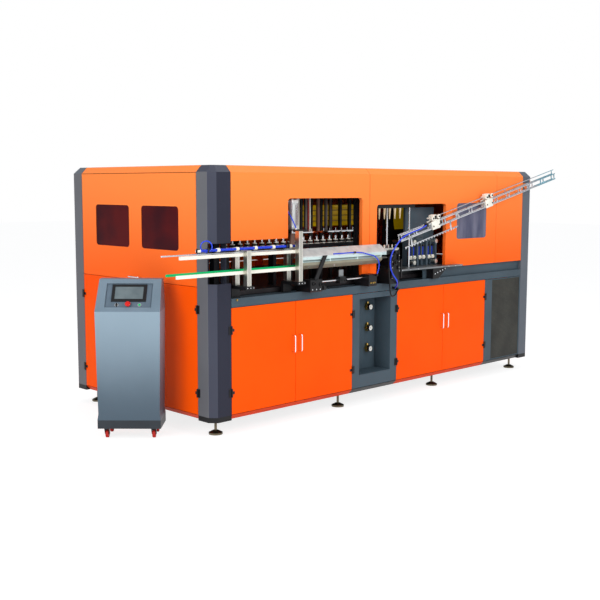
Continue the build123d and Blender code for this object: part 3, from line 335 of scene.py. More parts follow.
@dataclass(frozen=True)
class Painted(Finish):
    """Sheet metal under a powder coat, with its fine grain."""

    roughness: float = 0.42
    grain: float = 0.00005
    grain_scale: float = 900.0


@dataclass(frozen=True)
class SheenGraded(Painted):
    """A painted sheet whose colour carries painted light: a painted highlight paler at its top and
    painted shade darker at its foot.

    Attributes:
        low: the height in metres up to which it is as dark as its shade, the painted shade at its
            foot.
        high: the height from which it shows the plain colour, its painted highlight.
        drift: how far mottles bend the grade, in metres.
    """

    low: float = 0.2
    high: float = 1.0
    drift: float = 0.12

    def tone(self, graph: Graph) -> bpy.types.NodeSocket:
        """Works out the colour, from the painted shade below to the painted highlight above.

        Args:
            graph: the material's graph.

        Returns:
            The colour's output.
        """
        bend = graph.noise(self.mottle_scale, 3.0) * self.drift
        share = (graph.z + bend).ramp(self.low, self.high)
        return graph.mix(share, linear(self.shade), linear(self.colour))


@dataclass(frozen=True)
class Metal(Finish):
    """Bare or plated metal."""

    metallic: float = 1.0


@dataclass(frozen=True)
class Brushed(Metal):
    """Bare metal with the fine lines of its brushing."""

    grain: float = 0.00003
    grain_scale: float = 60.0


@dataclass(frozen=True)
class Drawn(Brushed):
    """Stainless steel that is brushed along X."""

    mottle_scale: float = 5.0
    roughness: float = 0.2
    spread: float = 0.12
    grain_scale: float = 90.0
    stretch: Point = (1, 24, 24)


@dataclass(frozen=True)
class Moulded(Finish):
    """Plastic or rubber with the light grain of its mould."""

    grain: float = 0.00004


@dataclass(frozen=True)
class Pane(Finish):
    """A tinted sheet of clear plastic that shows a little of what is behind it.

    Attributes:
        cover: how much of what is behind it the sheet hides.
    """

    cover: float = 0.9

    def extra(self, graph: Graph) -> dict[str, object]:
        """Returns the sheet's alpha, a little less where it is scuffed."""
        scuffs = graph.noise(SCUFF_SCALE, 3.0).ramp(*SCUFF_EDGE) * SCUFF_DEPTH
        return {"Alpha": self.cover - scuffs, "IOR": ACRYLIC_INDEX}


@dataclass(frozen=True)
class Perforated(Finish):
    """A dark sheet in front of a panel with rows of round holes.

    Attributes:
        pitch: how far apart the holes are, in metres.
        bore: a hole's radius as a share of the pitch.
        hole: the holes' own colour, in linear values.
    """

    pitch: float = 0.012
    bore: float = 0.28
    hole: Colour = (0.01, 0.01, 0.01)

    def tone(self, graph: Graph) -> bpy.types.NodeSocket:
        """Works out the sheet's colour, dark in its holes.

        Args:
            graph: the material's graph.

        Returns:
            The colour's output.
        """
        across = graph.x.wrapped(self.pitch)
        up = graph.z.wrapped(self.pitch)
        spot = (across * across + up * up) < (self.pitch * self.bore) ** 2
        return graph.mix(spot, super().tone(graph), self.hole)


@dataclass(frozen=True)
class Lit(Finish):
    """A surface that gives a little light of its own: the warm heater lamps, and painted light on
    the gold reflectors and the dark screen glass.

    Attributes:
        glow: the light's colour, in linear values.
        strength: how strong it is.
    """

    glow: Colour = (1.0, 1.0, 1.0)
    strength: float = 0.2

    def extra(self, graph: Graph) -> dict[str, object]:
        """Returns the glow's colour and strength."""
        return {"Emission Color": (*self.glow, 1.0), "Emission Strength": self.strength}


# The covers' orange runs from its saturated tone low down to a paler one at the top: a painted
# highlight for the lamps' sheen on even paint.
ORANGE = SheenGraded(
    (255, 138, 66),
    (254, 92, 8),
    mottle=0.6,
    mottle_scale=0.8,
    spread=0.08,
    gloss=0.08,
    low=0.9,
    high=2.1,
)
ORANGE_DOOR = Painted(
    (254, 86, 2), (250, 78, 0), mottle=0.6, mottle_scale=1.6, spread=0.08, gloss=0.06
)
# Painted shade: a darker copy of the door orange for the sill, the doors' downward-facing bottom
# chamfer.
ORANGE_SILL_SHADED = Painted(
    (222, 66, 4), (200, 52, 4), mottle=0.6, mottle_scale=3.0, roughness=0.45, gloss=0.06
)
SLATE = Painted((70, 85, 95), (58, 71, 80), mottle=0.6, mottle_scale=3.0, gloss=0.15)
# One grey paint copied in four tones that paint in light and shade: the end facets lit, the front
# facets shaded, the near column and the other columns in middle and paler tones.
FACET_END_LIT = Painted((98, 99, 104), (88, 89, 95), mottle_scale=2.2)
FACET_FRONT_SHADED = Painted((46, 48, 61), (40, 42, 54), mottle_scale=2.2, gloss=0.1)
COLUMN_GREY = Painted((66, 69, 82), (58, 60, 74), mottle_scale=2.2, gloss=0.12)
CORNER_GREY = Painted((98, 104, 112), (86, 92, 102), mottle_scale=2.2, gloss=0.15)
DESK_GREY = Painted((112, 130, 144), (98, 116, 130), mottle=0.6, mottle_scale=6.0, roughness=0.4)
# The console's grey is darker at the foot and paler at the top: painted shade and painted
# reflection of its gloss.
CONSOLE_GREY = SheenGraded((134, 154, 168), (72, 88, 101), mottle=0.7, mottle_scale=2.6, roughness=0.4)
PLINTH_GREY = Painted((46, 52, 58), (34, 38, 44), mottle=0.6, mottle_scale=6.0, roughness=0.45)
BLACK_PAINT = Painted((20, 20, 23), (9, 9, 11), mottle=0.6, mottle_scale=8.0, spread=0.12)
FRAME_DARK = Painted((24, 24, 28), (12, 12, 15), mottle=0.7, roughness=0.5, spread=0.12, gloss=0.15)
BED_STEEL = Finish(
    (50, 46, 48),
    (26, 24, 26),
    mottle=0.8,
    mottle_scale=6.0,
    roughness=0.42,
    spread=0.2,
    metallic=0.3,
)
ALUMINIUM = Brushed((226, 224, 214), (196, 194, 184), mottle_scale=5.0, roughness=0.34, spread=0.14)
ALU_DULL = Brushed((150, 154, 156), (112, 116, 120), mottle=0.7, mottle_scale=6.0, spread=0.14)
STEEL_X = Drawn((222, 224, 228), (176, 180, 188))
TIP_STEEL = Drawn((168, 214, 228), (140, 196, 214))
CHROME = Metal(
    (236, 238, 242), (206, 208, 212), mottle=0.3, mottle_scale=6.0, roughness=0.08, spread=0.05
)
ZINC = Metal(
    (120, 110, 92), (70, 64, 54), mottle=0.7, mottle_scale=30.0, roughness=0.38, spread=0.2
)
BRASS = Metal((206, 172, 96), (160, 128, 62), mottle_scale=30.0, roughness=0.25, spread=0.12)
CREAM = Finish((216, 196, 160), (176, 150, 110), mottle=0.6, mottle_scale=30.0, roughness=0.35)
# The gold reflectors glow faintly: painted light, for the lamps' light that they reflect.
GOLD = Lit(
    (206, 160, 4),
    (160, 120, 0),
    mottle=0.6,
    mottle_scale=6.0,
    roughness=0.3,
    spread=0.14,
    metallic=0.1,
    glow=(0.45, 0.3, 0.0),
    strength=0.18,
)
BROWN = Painted((122, 88, 76), (92, 64, 54), mottle=0.6, mottle_scale=9.0, roughness=0.5)
BAR_GREY = Finish((104, 98, 96), (70, 66, 66), mottle=0.6, mottle_scale=9.0, metallic=0.4)
BAR_RED = Finish((170, 34, 26), (120, 22, 18), mottle=0.6, mottle_scale=14.0)
WHITE_RAIL = Finish((238, 236, 224), (214, 212, 200), mottle=0.4, mottle_scale=6.0, roughness=0.38)
GREEN = Finish(
    (0, 180, 104), (0, 158, 90), mottle=0.4, mottle_scale=6.0, roughness=0.36, gloss=0.15
)
BLUE = Finish(
    (20, 62, 214), (12, 40, 176), mottle_scale=20.0, roughness=0.26, spread=0.08, coat=0.3
)
BLACK_PLASTIC = Moulded((24, 24, 26), (12, 12, 14), mottle_scale=20.0)
BLACK_RUBBER = Moulded((16, 16, 18), (9, 9, 10), mottle_scale=30.0, roughness=0.5)
GREY_PLASTIC = Moulded((92, 108, 122), (78, 94, 108), mottle_scale=12.0, roughness=0.45)
RED_PLASTIC = Finish(
    (214, 24, 18),
    (168, 14, 10),
    mottle=0.4,
    mottle_scale=30.0,
    roughness=0.28,
    spread=0.08,
    coat=0.3,
)
RED_RUBBER = Moulded(
    (190, 34, 24), (140, 20, 14), mottle_scale=40.0, roughness=0.6, spread=0.12, grain=0.0001
)
CUP = Finish((150, 154, 158), (112, 116, 120), mottle_scale=20.0, roughness=0.35)
DIAL = Finish(
    (232, 232, 226), (214, 214, 206), mottle=0.4, mottle_scale=30.0, roughness=0.3, spread=0.05
)
MAROON = Pane(
    (84, 8, 12),
    (46, 2, 16),
    mottle=0.9,
    mottle_scale=3.2,
    roughness=0.3,
    spread=0.06,
    gloss=0.08,
    cover=0.95,
)
SMOKED = Pane(
    (112, 112, 132),
    (66, 70, 96),
    mottle=0.9,
    mottle_scale=3.6,
    roughness=0.2,
    spread=0.08,
    stretch=(2.5, 1, 0.6),
    gloss=0.2,
    cover=0.94,
)
PERSPEX = Perforated(
    (62, 62, 56), (44, 44, 40), mottle=0.9, mottle_scale=5.0, roughness=0.3, spread=0.08, gloss=0.12
)
# The screen glass's faint pale glow is painted reflection on the dark glass.
GLASS = Lit(
    (104, 116, 120),
    (78, 90, 96),
    mottle=0.9,
    mottle_scale=7.0,
    roughness=0.12,
    spread=0.04,
    glow=(0.4, 0.5, 0.52),
    strength=0.03,
)
LAMP = Lit(
    (150, 118, 50),
    (120, 92, 30),
    mottle=0.3,
    mottle_scale=9.0,
    roughness=0.2,
    spread=0.05,
    glow=(0.6, 0.4, 0.1),
    strength=0.05,
)
PLATEN_SLATE = Painted((70, 84, 94), (58, 70, 79), mottle=0.6, mottle_scale=5.0, roughness=0.4)
BODY_GREY = Finish(
    (214, 216, 214),
    (168, 172, 174),
    mottle=0.6,
    mottle_scale=14.0,
    roughness=0.3,
    metallic=0.25,
    stretch=(1, 1, 0.1),
)
TROUGH_SIDE = Finish((150, 146, 128), (116, 112, 96), mottle_scale=5.0, spread=0.12, metallic=0.4)
TROUGH_TOP = Finish(
    (206, 226, 224), (184, 206, 206), mottle_scale=5.0, roughness=0.35, spread=0.12, metallic=0.3
)
FLOOR_TONE = Finish(
    (250, 250, 250), (247, 247, 247), mottle=0.4, mottle_scale=1.0, roughness=0.7, spread=0.05
)

Test = Callable[[Graph], Value]


def within(**limits: Span) -> Test:
    """Makes a test for a box in the cabinet's millimetres.

    Args:
        limits: x, y or z with its lowest and highest value.

    Returns:
        A test that is 1 inside every limit.
    """
    start = {"x": FOOT_IN, "y": FOOT_IN, "z": 0.0}

    def test(graph: Graph) -> Value:
        """Tests a point against every limit.

        Args:
            graph: the material's graph.

        Returns:
            1 inside the box.
        """
        inside = None
        for axis, (low, high) in limits.items():
            place = getattr(graph, axis)
            above = place > (low - start[axis]) / METRE
            band = above * (place < (high - start[axis]) / METRE)
            inside = band if inside is None else inside * band
        return inside

    return test


def either(*tests: Test) -> Test:
    """Makes a test that is 1 where any of several is.

    Args:
        tests: the tests to join, one or more.

    Returns:
        The joined test.
    """

    def test(graph: Graph) -> Value:
        """Adds the tests up and stops at 1.

        Args:
            graph: the material's graph.

        Returns:
            1 where any test is 1.
        """
        total = tests[0](graph)
        for further in tests[1:]:
            total = total + further(graph)
        return total.clear()

    return test


def both(first: Test, second: Test) -> Test:
    """Makes a test that is 1 only where both tests are."""
    return lambda graph: first(graph) * second(graph)


def round_x(middle: Span, radii: Span) -> Test:
    """Makes a test for a sleeve round a line along X.

    Args:
        middle: the line's y and z in the cabinet's millimetres.
        radii: the sleeve's inner and outer radius in millimetres.

    Returns:
        A test that is 1 between the two radii.
    """
    inner, outer = ((radius / METRE) ** 2 for radius in radii)

    def test(graph: Graph) -> Value:
        """Compares the squared distance from the line with the two radii.

        Args:
            graph: the material's graph.

        Returns:
            1 in the sleeve.
        """
        across = graph.y - (middle[0] - FOOT_IN) / METRE
        up = graph.z - middle[1] / METRE
        span = across * across + up * up
        return (span > inner) * (span < outer)

    return test


def layered(name: str, base: Finish, *layers: tuple[Test, Finish]) -> bpy.types.Material:
    """Makes one material of a base finish and others that show where a test is 1.

    Args:
        name: the material's name.
        base: the finish everywhere else.
        layers: pairs of a test on a graph and the finish that shows there.

    Returns:
        The material.
    """
    graph = Graph(name)
    shown = base.shader(graph)
    for test, finish in layers:
        shown = graph.blend(test(graph), shown, finish.shader(graph))
    return graph.finish(shown)


def dress(nodes: str | Sequence[str], base: Finish, *layers: tuple[Test, Finish]) -> None:
    """Gives CAD nodes a material of their own.

    Args:
        nodes: one node's name, or several that share the material.
        base: the main finish.
        layers: further finishes with the tests for where they show.
    """
    names = [nodes] if isinstance(nodes, str) else list(nodes)
    material = layered(f"{names[0]}_finish", base, *layers)
    for name in names:
        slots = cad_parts[name].data.materials
        slots.clear()
        slots.append(material)
        LOG.info("dressed %s", name)


# Shapes


def place_object(name: str, data: bpy.types.ID) -> bpy.types.Object:
    """Puts a mesh, curve, lamp or camera into the scene.

    Args:
        name: the object's name.
        data: what it shows.

    Returns:
        The object.
    """
    made = bpy.data.objects.new(name, data)
    bpy.context.scene.collection.objects.link(made)
    return made


def join(name: str, data: bpy.types.ID, body: str, slot: Slot) -> bpy.types.Object:
    """Makes a finished mesh or curve into a piece that rides on a body.

    Args:
        name: the piece's name.
        data: its mesh or curve.
        body: the CAD body that it moves with.
        slot: the record's slot; not used.

    Returns:
        The piece's object.
    """
    made = place_object(name, data)
    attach(made, body)
    LOG.info("made %s", name)
    return made


class Shape:
    """A mesh that gathers small machined forms, given in millimetres of one frame.

    Attributes:
        BEVEL_STEPS: how many faces go across a rounded edge.
        RING_STEPS: how many sides a ring's section has.
        SHARP: the angle in degrees from which an edge stays sharp.
    """

    BEVEL_STEPS = 2
    RING_STEPS = 12
    SHARP = 32

    def __init__(self, place: Matrix | None = None) -> None:
        """Starts an empty mesh.

        Args:
            place: where its frame lies in the row frame, at the cabinet's corner for None.
        """
        self.mesh = bmesh.new()
        self.place = place or Matrix.Translation(at(0, 0, 0))

    def add(self, form: bmesh.types.BMesh, place: Matrix) -> None:
        """Moves a finished form to its place and joins it to the rest.

        Args:
            form: the form, which this frees.
            place: where it goes in the shape's own frame, in metres.
        """
        bmesh.ops.recalc_face_normals(form, faces=form.faces)
        form.transform(self.place @ place)
        held = bpy.data.meshes.new("held")
        form.to_mesh(held)
        form.free()
        self.mesh.from_mesh(held)
        bpy.data.meshes.remove(held)

    def block(self, x: Span, y: Span, z: Span, edge: float) -> None:
        """Adds a block with rounded edges.

        Args:
            x: where it starts and ends along X.
            y: the same along Y.
            z: the same along Z.
            edge: how far its edges are rounded.
        """
        form = bmesh.new()
        bmesh.ops.create_cube(form, size=1.0)
        low, high = (Vector(corner) / METRE for corner in zip(x, y, z))
        bmesh.ops.scale(form, vec=high - low, verts=form.verts)
        bmesh.ops.bevel(
            form,
            geom=form.edges[:],
            offset=edge / METRE,
            segments=self.BEVEL_STEPS,
            profile=0.5,
            affect="EDGES",
            material=-1,
        )
        self.add(form, Matrix.Translation((low + high) / 2))

    def folded(self, outline: Outline, x: Span) -> None:
        """Adds a profile that is drawn out along X.

        Args:
            outline: the profile's corners as pairs of y and z.
            x: where it starts and ends along X.
        """
        low, high = x
        form = bmesh.new()
        verts = [form.verts.new((low / METRE, y / METRE, z / METRE)) for y, z in outline]
        drawn = bmesh.ops.extrude_face_region(form, geom=[form.faces.new(verts)])
        moved = [part for part in drawn["geom"] if isinstance(part, bmesh.types.BMVert)]
        bmesh.ops.translate(form, vec=((high - low) / METRE, 0, 0), verts=moved)
        self.add(form, Matrix())

    def turned(self, profile: Outline, place: Point, along: Point, steps: int = 24) -> None:
        """Adds a form turned about an axis.

        Args:
            profile: pairs of radius and height.
            place: the axis's start.
            along: the axis's direction.
            steps: how many faces go round.
        """
        form = bmesh.new()
        verts = [form.verts.new((radius / METRE, 0, height / METRE)) for radius, height in profile]
        edges = [form.edges.new(pair) for pair in zip(verts, verts[1:])]
        bmesh.ops.spin(
            form,
            geom=verts + edges,
            cent=(0, 0, 0),
            axis=(0, 0, 1),
            angle=math.tau,
            steps=steps,
            use_merge=True,
        )
        bmesh.ops.remove_doubles(form, verts=form.verts, dist=1e-6)
        turn = Vector(along).to_track_quat("Z", "Y").to_matrix().to_4x4()
        self.add(form, Matrix.Translation(Vector(place) / METRE) @ turn)

    def rod(self, start: Point, end: Point, radius: float, steps: int = 20) -> None:
        """Adds a round rod with chamfered ends.

        Args:
            start: the middle of one end.
            end: the middle of the other.
            radius: half of its diameter.
            steps: how many faces go round.
        """
        way = Vector(end) - Vector(start)
        long, edge = way.length, min(1.0, radius / 4)
        ends = [(0, 0), (radius - edge, 0), (radius, edge)]
        ends += [(radius, long - edge), (radius - edge, long), (0, long)]
        self.turned(ends, start, way, steps)

    def ring(self, place: Point, along: Point, radius: float, thick: float) -> None:
        """Adds a ring of round section about an axis.

        Args:
            place: the ring's middle.
            along: the axis's direction.
            radius: from the axis to the middle of the section.
            thick: the section's radius.
        """
        turns = [math.tau * step / self.RING_STEPS for step in range(self.RING_STEPS + 1)]
        profile = [(radius + thick * math.cos(turn), thick * math.sin(turn)) for turn in turns]
        self.turned(profile, place, along, steps=40)

    def screw(self, place: Point, radius: float, along: Point = FRONT) -> None:
        """Adds a cap screw's head with its socket.

        Args:
            place: where it stands, SEAT in front of its face.
            radius: the head's radius, from which its other sizes follow.
            along: where the head points.
        """
        tall, bore = radius * 0.8, radius * 0.5
        rim, floor = tall * 0.8, tall * 0.4
        profile = [(radius, -SEAT), (radius, rim), (radius * 0.85, tall), (bore, tall)]
        self.turned([*profile, (bore, floor), (0, floor)], place, along, steps=16)

    def piece(
        self,
        name: str,
        slot: Slot,
        base: Finish,
        *layers: tuple[Test, Finish],
        body: str = "machine",
    ) -> bpy.types.Object:
        """Makes the gathered forms into one piece that rides on a body.

        Args:
            name: the piece's name.
            slot: the record's slot, handed on to join().
            base: its main finish.
            layers: further finishes with the tests for where they show.
            body: the CAD body that it moves with.

        Returns:
            The piece's object.
        """
        mesh = bpy.data.meshes.new(name)
        self.mesh.to_mesh(mesh)
        self.mesh.free()
        mesh.shade_smooth()
        mesh.set_sharp_from_angle(angle=math.radians(self.SHARP))
        mesh.materials.append(layered(f"{name}_finish", base, *layers))
        return join(name, mesh, body, slot)


# Sub-assemblies


@dataclass(frozen=True)
class Hose:
    """One free hose or cable on its CAD route, in millimetres.

    Attributes:
        name: the piece's name.
        route: its corners.
        radius: half of its diameter.
        length: how long it is; not used.
        slot: the record's slot, handed on to join().
        finish: its surface.
    """

    name: str
    route: Sequence[Point]
    radius: float
    length: float
    slot: Slot = Slot.GREY
    finish: Finish = BLUE

    def lay(self) -> None:
        """Lays the hose as a smooth curve along its route."""
        curve = bpy.data.curves.new(self.name, "CURVE")
        curve.dimensions = "3D"
        spline = curve.splines.new("NURBS")
        spline.points.add(len(self.route) - 1)
        for point, corner in zip(spline.points, self.route):
            point.co = (*at(*corner), 1.0)
        spline.order_u = 3
        spline.use_endpoint_u = True
        curve.resolution_u = 16
        curve.bevel_depth = self.radius / METRE
        curve.bevel_resolution = 5
        curve.use_fill_caps = True
        curve.materials.append(layered(f"{self.name}_finish", self.finish))
        join(self.name, curve, "machine", self.slot)
        tuple(at(*self.route[0]))


@dataclass
class Hoses:
    """The free hoses and the cable, with the black fittings at their ends.

    Attributes:
        main: the long hose's route, from its elbow by the chute to the loader's foot.
        cable: the black cable's route round the loader.
        trough: the route of the hose at the trough's front.
        cylinder: the route of the hose beside the stop cylinder.
        elbow: the elbow block's spans along X, Y and Z.
        ferrules: each round fitting's start, end and radius.
    """

    main: Sequence[Point] = (
        (2313, -98, 1493),
        (2215, -112, 1462),
        (2056, -120, 1433),
        (1946, -130, 1399),
        (1892, -130, 1360),
        (1809, -130, 1276),
        (1797, -122, 1193),
        (1826, -118, 1107),
        (1925, -120, 1014),
        (1982, -26, 966),
    )
    cable: Sequence[Point] = (
        (1896, -104, 1276),
        (1850, -114, 1225),
        (1800, -106, 1151),
        (1809, -112, 1049),
        (1855, -80, 946),
        (1905, -56, 898),
        (1975, -44, 908),
        (2025, -24, 954),
    )
    trough: Sequence[Point] = (
        (1398, -94, 1298),
        (1470, -104, 1296),
        (1545, -106, 1276),
        (1622, -108, 1262),
        (1672, -110, 1220),
        (1680, -108, 1160),
        (1655, -106, 1107),
    )
    cylinder: Sequence[Point] = (
        (796, 60, 1706),
        (774, 58, 1704),
        (772, 40, 1640),
        (786, -10, 1570),
        (800, -30, 1506),
    )
    elbow: tuple[Span, Span, Span] = ((2300, 2330), (-106, -77), (1478, 1506))
    ferrules: Sequence[tuple[Point, Point, float]] = (
        ((1982, -32, 966), (1982, 0, 966), 11),
        ((2025, -30, 954), (2025, 0, 954), 12),
        ((1896, -110, 1278), (1896, -90, 1278), 11),
        ((1655, -112, 1102), (1655, -94, 1102), 10),
        ((1384, -93, 1298), (1406, -94, 1298), 8),
    )

    def build(self) -> None:
        """Lays the hoses and the cable and adds their fittings."""
        Hose("blue_hose_main", self.main, radius=6.0, length=982).lay()
        black = {"slot": Slot.PLASTIC, "finish": BLACK_RUBBER}
        Hose("black_cable_loop", self.cable, radius=6.0, length=582, **black).lay()
        Hose("blue_hose_trough", self.trough, radius=5.0, length=403).lay()
        Hose("blue_hose_cylinder", self.cylinder, radius=4.5, length=232).lay()
        fittings = Shape()
        fittings.block(*self.elbow, edge=3)
        for start, end, radius in self.ferrules:
            fittings.rod(start, end, radius)
        fittings.piece("hose_fittings", Slot.PLASTIC, BLACK_PLASTIC)


@dataclass
class Cabinet:
    """The cabinet's skin: covers, columns, doors, panes, hinges and skirt.

    Attributes:
        facet: from outside the skin to just behind a column's flat front or end.
        proud: from outside the skin to just in front of the doors' sheet, where their fittings are.
        handle_z: the height of the handles' middle.
        handle_reach: half of a handle's height, with its ends.
        foot_z: the heights of the columns' chamfered feet.
        orange_bays: the stretches of skirt under doors, along X, in the sill's painted-shade
            orange.
        doors: the doors along the front.
    """

    facet: Span = (-9, 1.5)
    proud: Span = (-90, -0.4)
    handle_z: float = 620.0
    handle_reach: float = 74.0
    foot_z: Span = (0, 156.0)
    orange_bays: Sequence[Span] = ((178, 1478), (2044, 3344), (-9, 100))
    doors: Sequence[str] = ("front_door_1", "front_door_2", "front_door_3", "front_door_4")

    def build(self) -> None:
        """Dresses every piece of the skin."""
        covers = ("front_cover_left", "front_cover_middle", "front_cover_right")
        # The covers, panels and roof carry the orange's painted highlight, paler towards the top.
        dress((*covers, "closed_panels", "roof_panel"), ORANGE)
        self.dress_columns()
        dress(("gauge_alcove", "service_frame"), SLATE)
        dress("end_windows", MAROON)
        dress("front_window", SMOKED)
        dress("service_window", PERSPEX)
        dress("hinge_leaves", BLACK_PAINT)
        self.dress_doors()
        # Under the doors the skirt takes the darker sill orange: painted shade on the downward
        # chamfer.
        bays = either(*(within(x=bay) for bay in self.orange_bays))
        dress("skirt", BLACK_PAINT, (bays, ORANGE_SILL_SHADED))

    def dress_columns(self) -> None:
        """Dresses the columns in lit and shaded copies of one grey, painted light on the end and
        painted shade on the front, with a black foot.
        """
        # Painted light and shade: the end facet lighter, the front facet darker.
        end = (within(x=self.facet), FACET_END_LIT)
        front = (within(y=self.facet), FACET_FRONT_SHADED)
        foot = (within(z=self.foot_z), BLACK_PAINT)
        dress("column_front_left", COLUMN_GREY, end, front, foot)
        dress("corner_columns", CORNER_GREY, end, foot)

    def dress_doors(self) -> None:
        """Dresses the doors, with black hinge leaves and chrome handles."""
        handle_z = around(self.handle_z, self.handle_reach)
        handle = (within(y=self.proud, z=handle_z), CHROME)
        dress(self.doors, ORANGE_DOOR, (within(y=self.proud), BLACK_PAINT), handle)
        hinge = (within(x=self.proud), BLACK_PAINT)
        dress(("end_door_near", "end_door_far"), ORANGE_DOOR, hinge)
        dress("end_door_upper", ORANGE, (within(x=self.proud), CHROME))


@dataclass
class Base:
    """The machine's frame, its bed and its levelling feet."""

    def build(self) -> None:
        """Dresses the three."""
        dress("machine_frame", FRAME_DARK)
        dress("machine_bed", BED_STEEL)
        dress("levelling_feet", ZINC)


@dataclass
class Oven:
    """The heating oven and its carriers, with its hanging bars, stud rail and reflectors.

    Attributes:
        collars: the heights of the carriers' two pale collars.
        spigot_z: the heights of the carriers' bright spigots.
        bars: each hanging bar's left edge, width and finish.
        bar_y: the bars' span in depth.
        bar_z: the bars' span in height.
        rail: the stud rail's spans along X, Y and Z.
        studs: how many studs stand on the rail.
        stud_x: where the first stud stands.
        stud_pitch: how far the next one stands from it.
        stud_y: the studs' middle in depth.
        stud_top: how high the studs reach.
        far_x: the far reflector's span along X.
        far_z: its span in height.
        far_y: where its two long edges lie.
        far_bow: how far its middle bows back.
        far_steps: how many flats make its curve.
        sheet: its thickness.
    """

    collars: Sequence[Span] = ((1357, 1361), (1378, 1385.4))
    spigot_z: Span = (1385.5, 1416)
    bars: Sequence[tuple[float, float, Finish]] = (
        (1150, 26, BROWN),
        (1180, 12, WHITE_RAIL),
        (1262, 22, BAR_GREY),
        (1292, 10, BAR_RED),
        (1310, 12, WHITE_RAIL),
        (1404, 26, BROWN),
        (1500, 22, BAR_GREY),
        (1560, 10, BAR_GREY),
    )
    bar_y: Span = (330, 351)
    bar_z: Span = (1452, 1800)
    rail: tuple[Span, Span, Span] = ((1110, 2190), (338, 351.5), (1440, 1453))
    studs: int = 15
    stud_x: float = 1130.0
    stud_pitch: float = 72.0
    stud_y: float = 344.0
    stud_top: float = 1476.0
    far_x: Span = (2400.0, 2575.0)
    far_z: Span = (1440.0, 1636.0)
    far_y: float = 334.0
    far_bow: float = 16.0
    far_steps: int = 12
    sheet: float = 2.0

    def build(self) -> None:
        """Dresses the oven and its carriers, and adds bars, rail and far reflector."""
        dress("oven_rack", BLACK_PAINT)
        # The reflector's faint glow is painted light.
        dress("oven_reflector", GOLD)
        dress("heater_lamps", LAMP)
        dress("carrier_track", FRAME_DARK)
        collars = (either(*(within(z=heights) for heights in self.collars)), WHITE_RAIL)
        dress("preform_carriers", BLACK_PAINT, collars, (within(z=self.spigot_z), CHROME))
        self.add_bars()
        self.add_stud_rail()
        self.add_far_reflector()

    def add_bars(self) -> None:
        """Adds the bars that hang behind the oven, each with its own colour."""
        shape = Shape()
        for x, wide, _ in self.bars:
            shape.block((x, x + wide), self.bar_y, self.bar_z, edge=2)
        layers = []
        for shade in dict.fromkeys(finish for _, _, finish in self.bars):
            own = [within(x=(x - 1, x + wide + 1)) for x, wide, kind in self.bars if kind is shade]
            layers.append((either(*own), shade))
        shape.piece("oven_bars", Slot.BLACK, BLACK_PAINT, *layers)

    def add_stud_rail(self) -> None:
        """Adds the rail behind the bars with its row of studs."""
        shape = Shape()
        shape.block(*self.rail, edge=1)
        for step in range(self.studs):
            x = self.stud_x + self.stud_pitch * step
            foot, top = (x, self.stud_y, self.rail[2][1]), (x, self.stud_y, self.stud_top)
            shape.rod(foot, top, radius=4, steps=12)
        shape.piece("stud_rail", Slot.STEEL, CHROME)

    def add_far_reflector(self) -> None:
        """Adds the curved reflector that stands on the rear platen's face."""
        low, high = self.far_z
        shares = [step / self.far_steps for step in range(self.far_steps + 1)]
        front = [
            (self.far_y + self.far_bow * math.sin(math.pi * share), low + (high - low) * share)
            for share in shares
        ]
        back = [(y + self.sheet, z) for y, z in reversed(front)]
        shape = Shape()
        shape.folded([*front, *back], self.far_x)
        shape.piece("far_reflector", Slot.GOLD, GOLD)


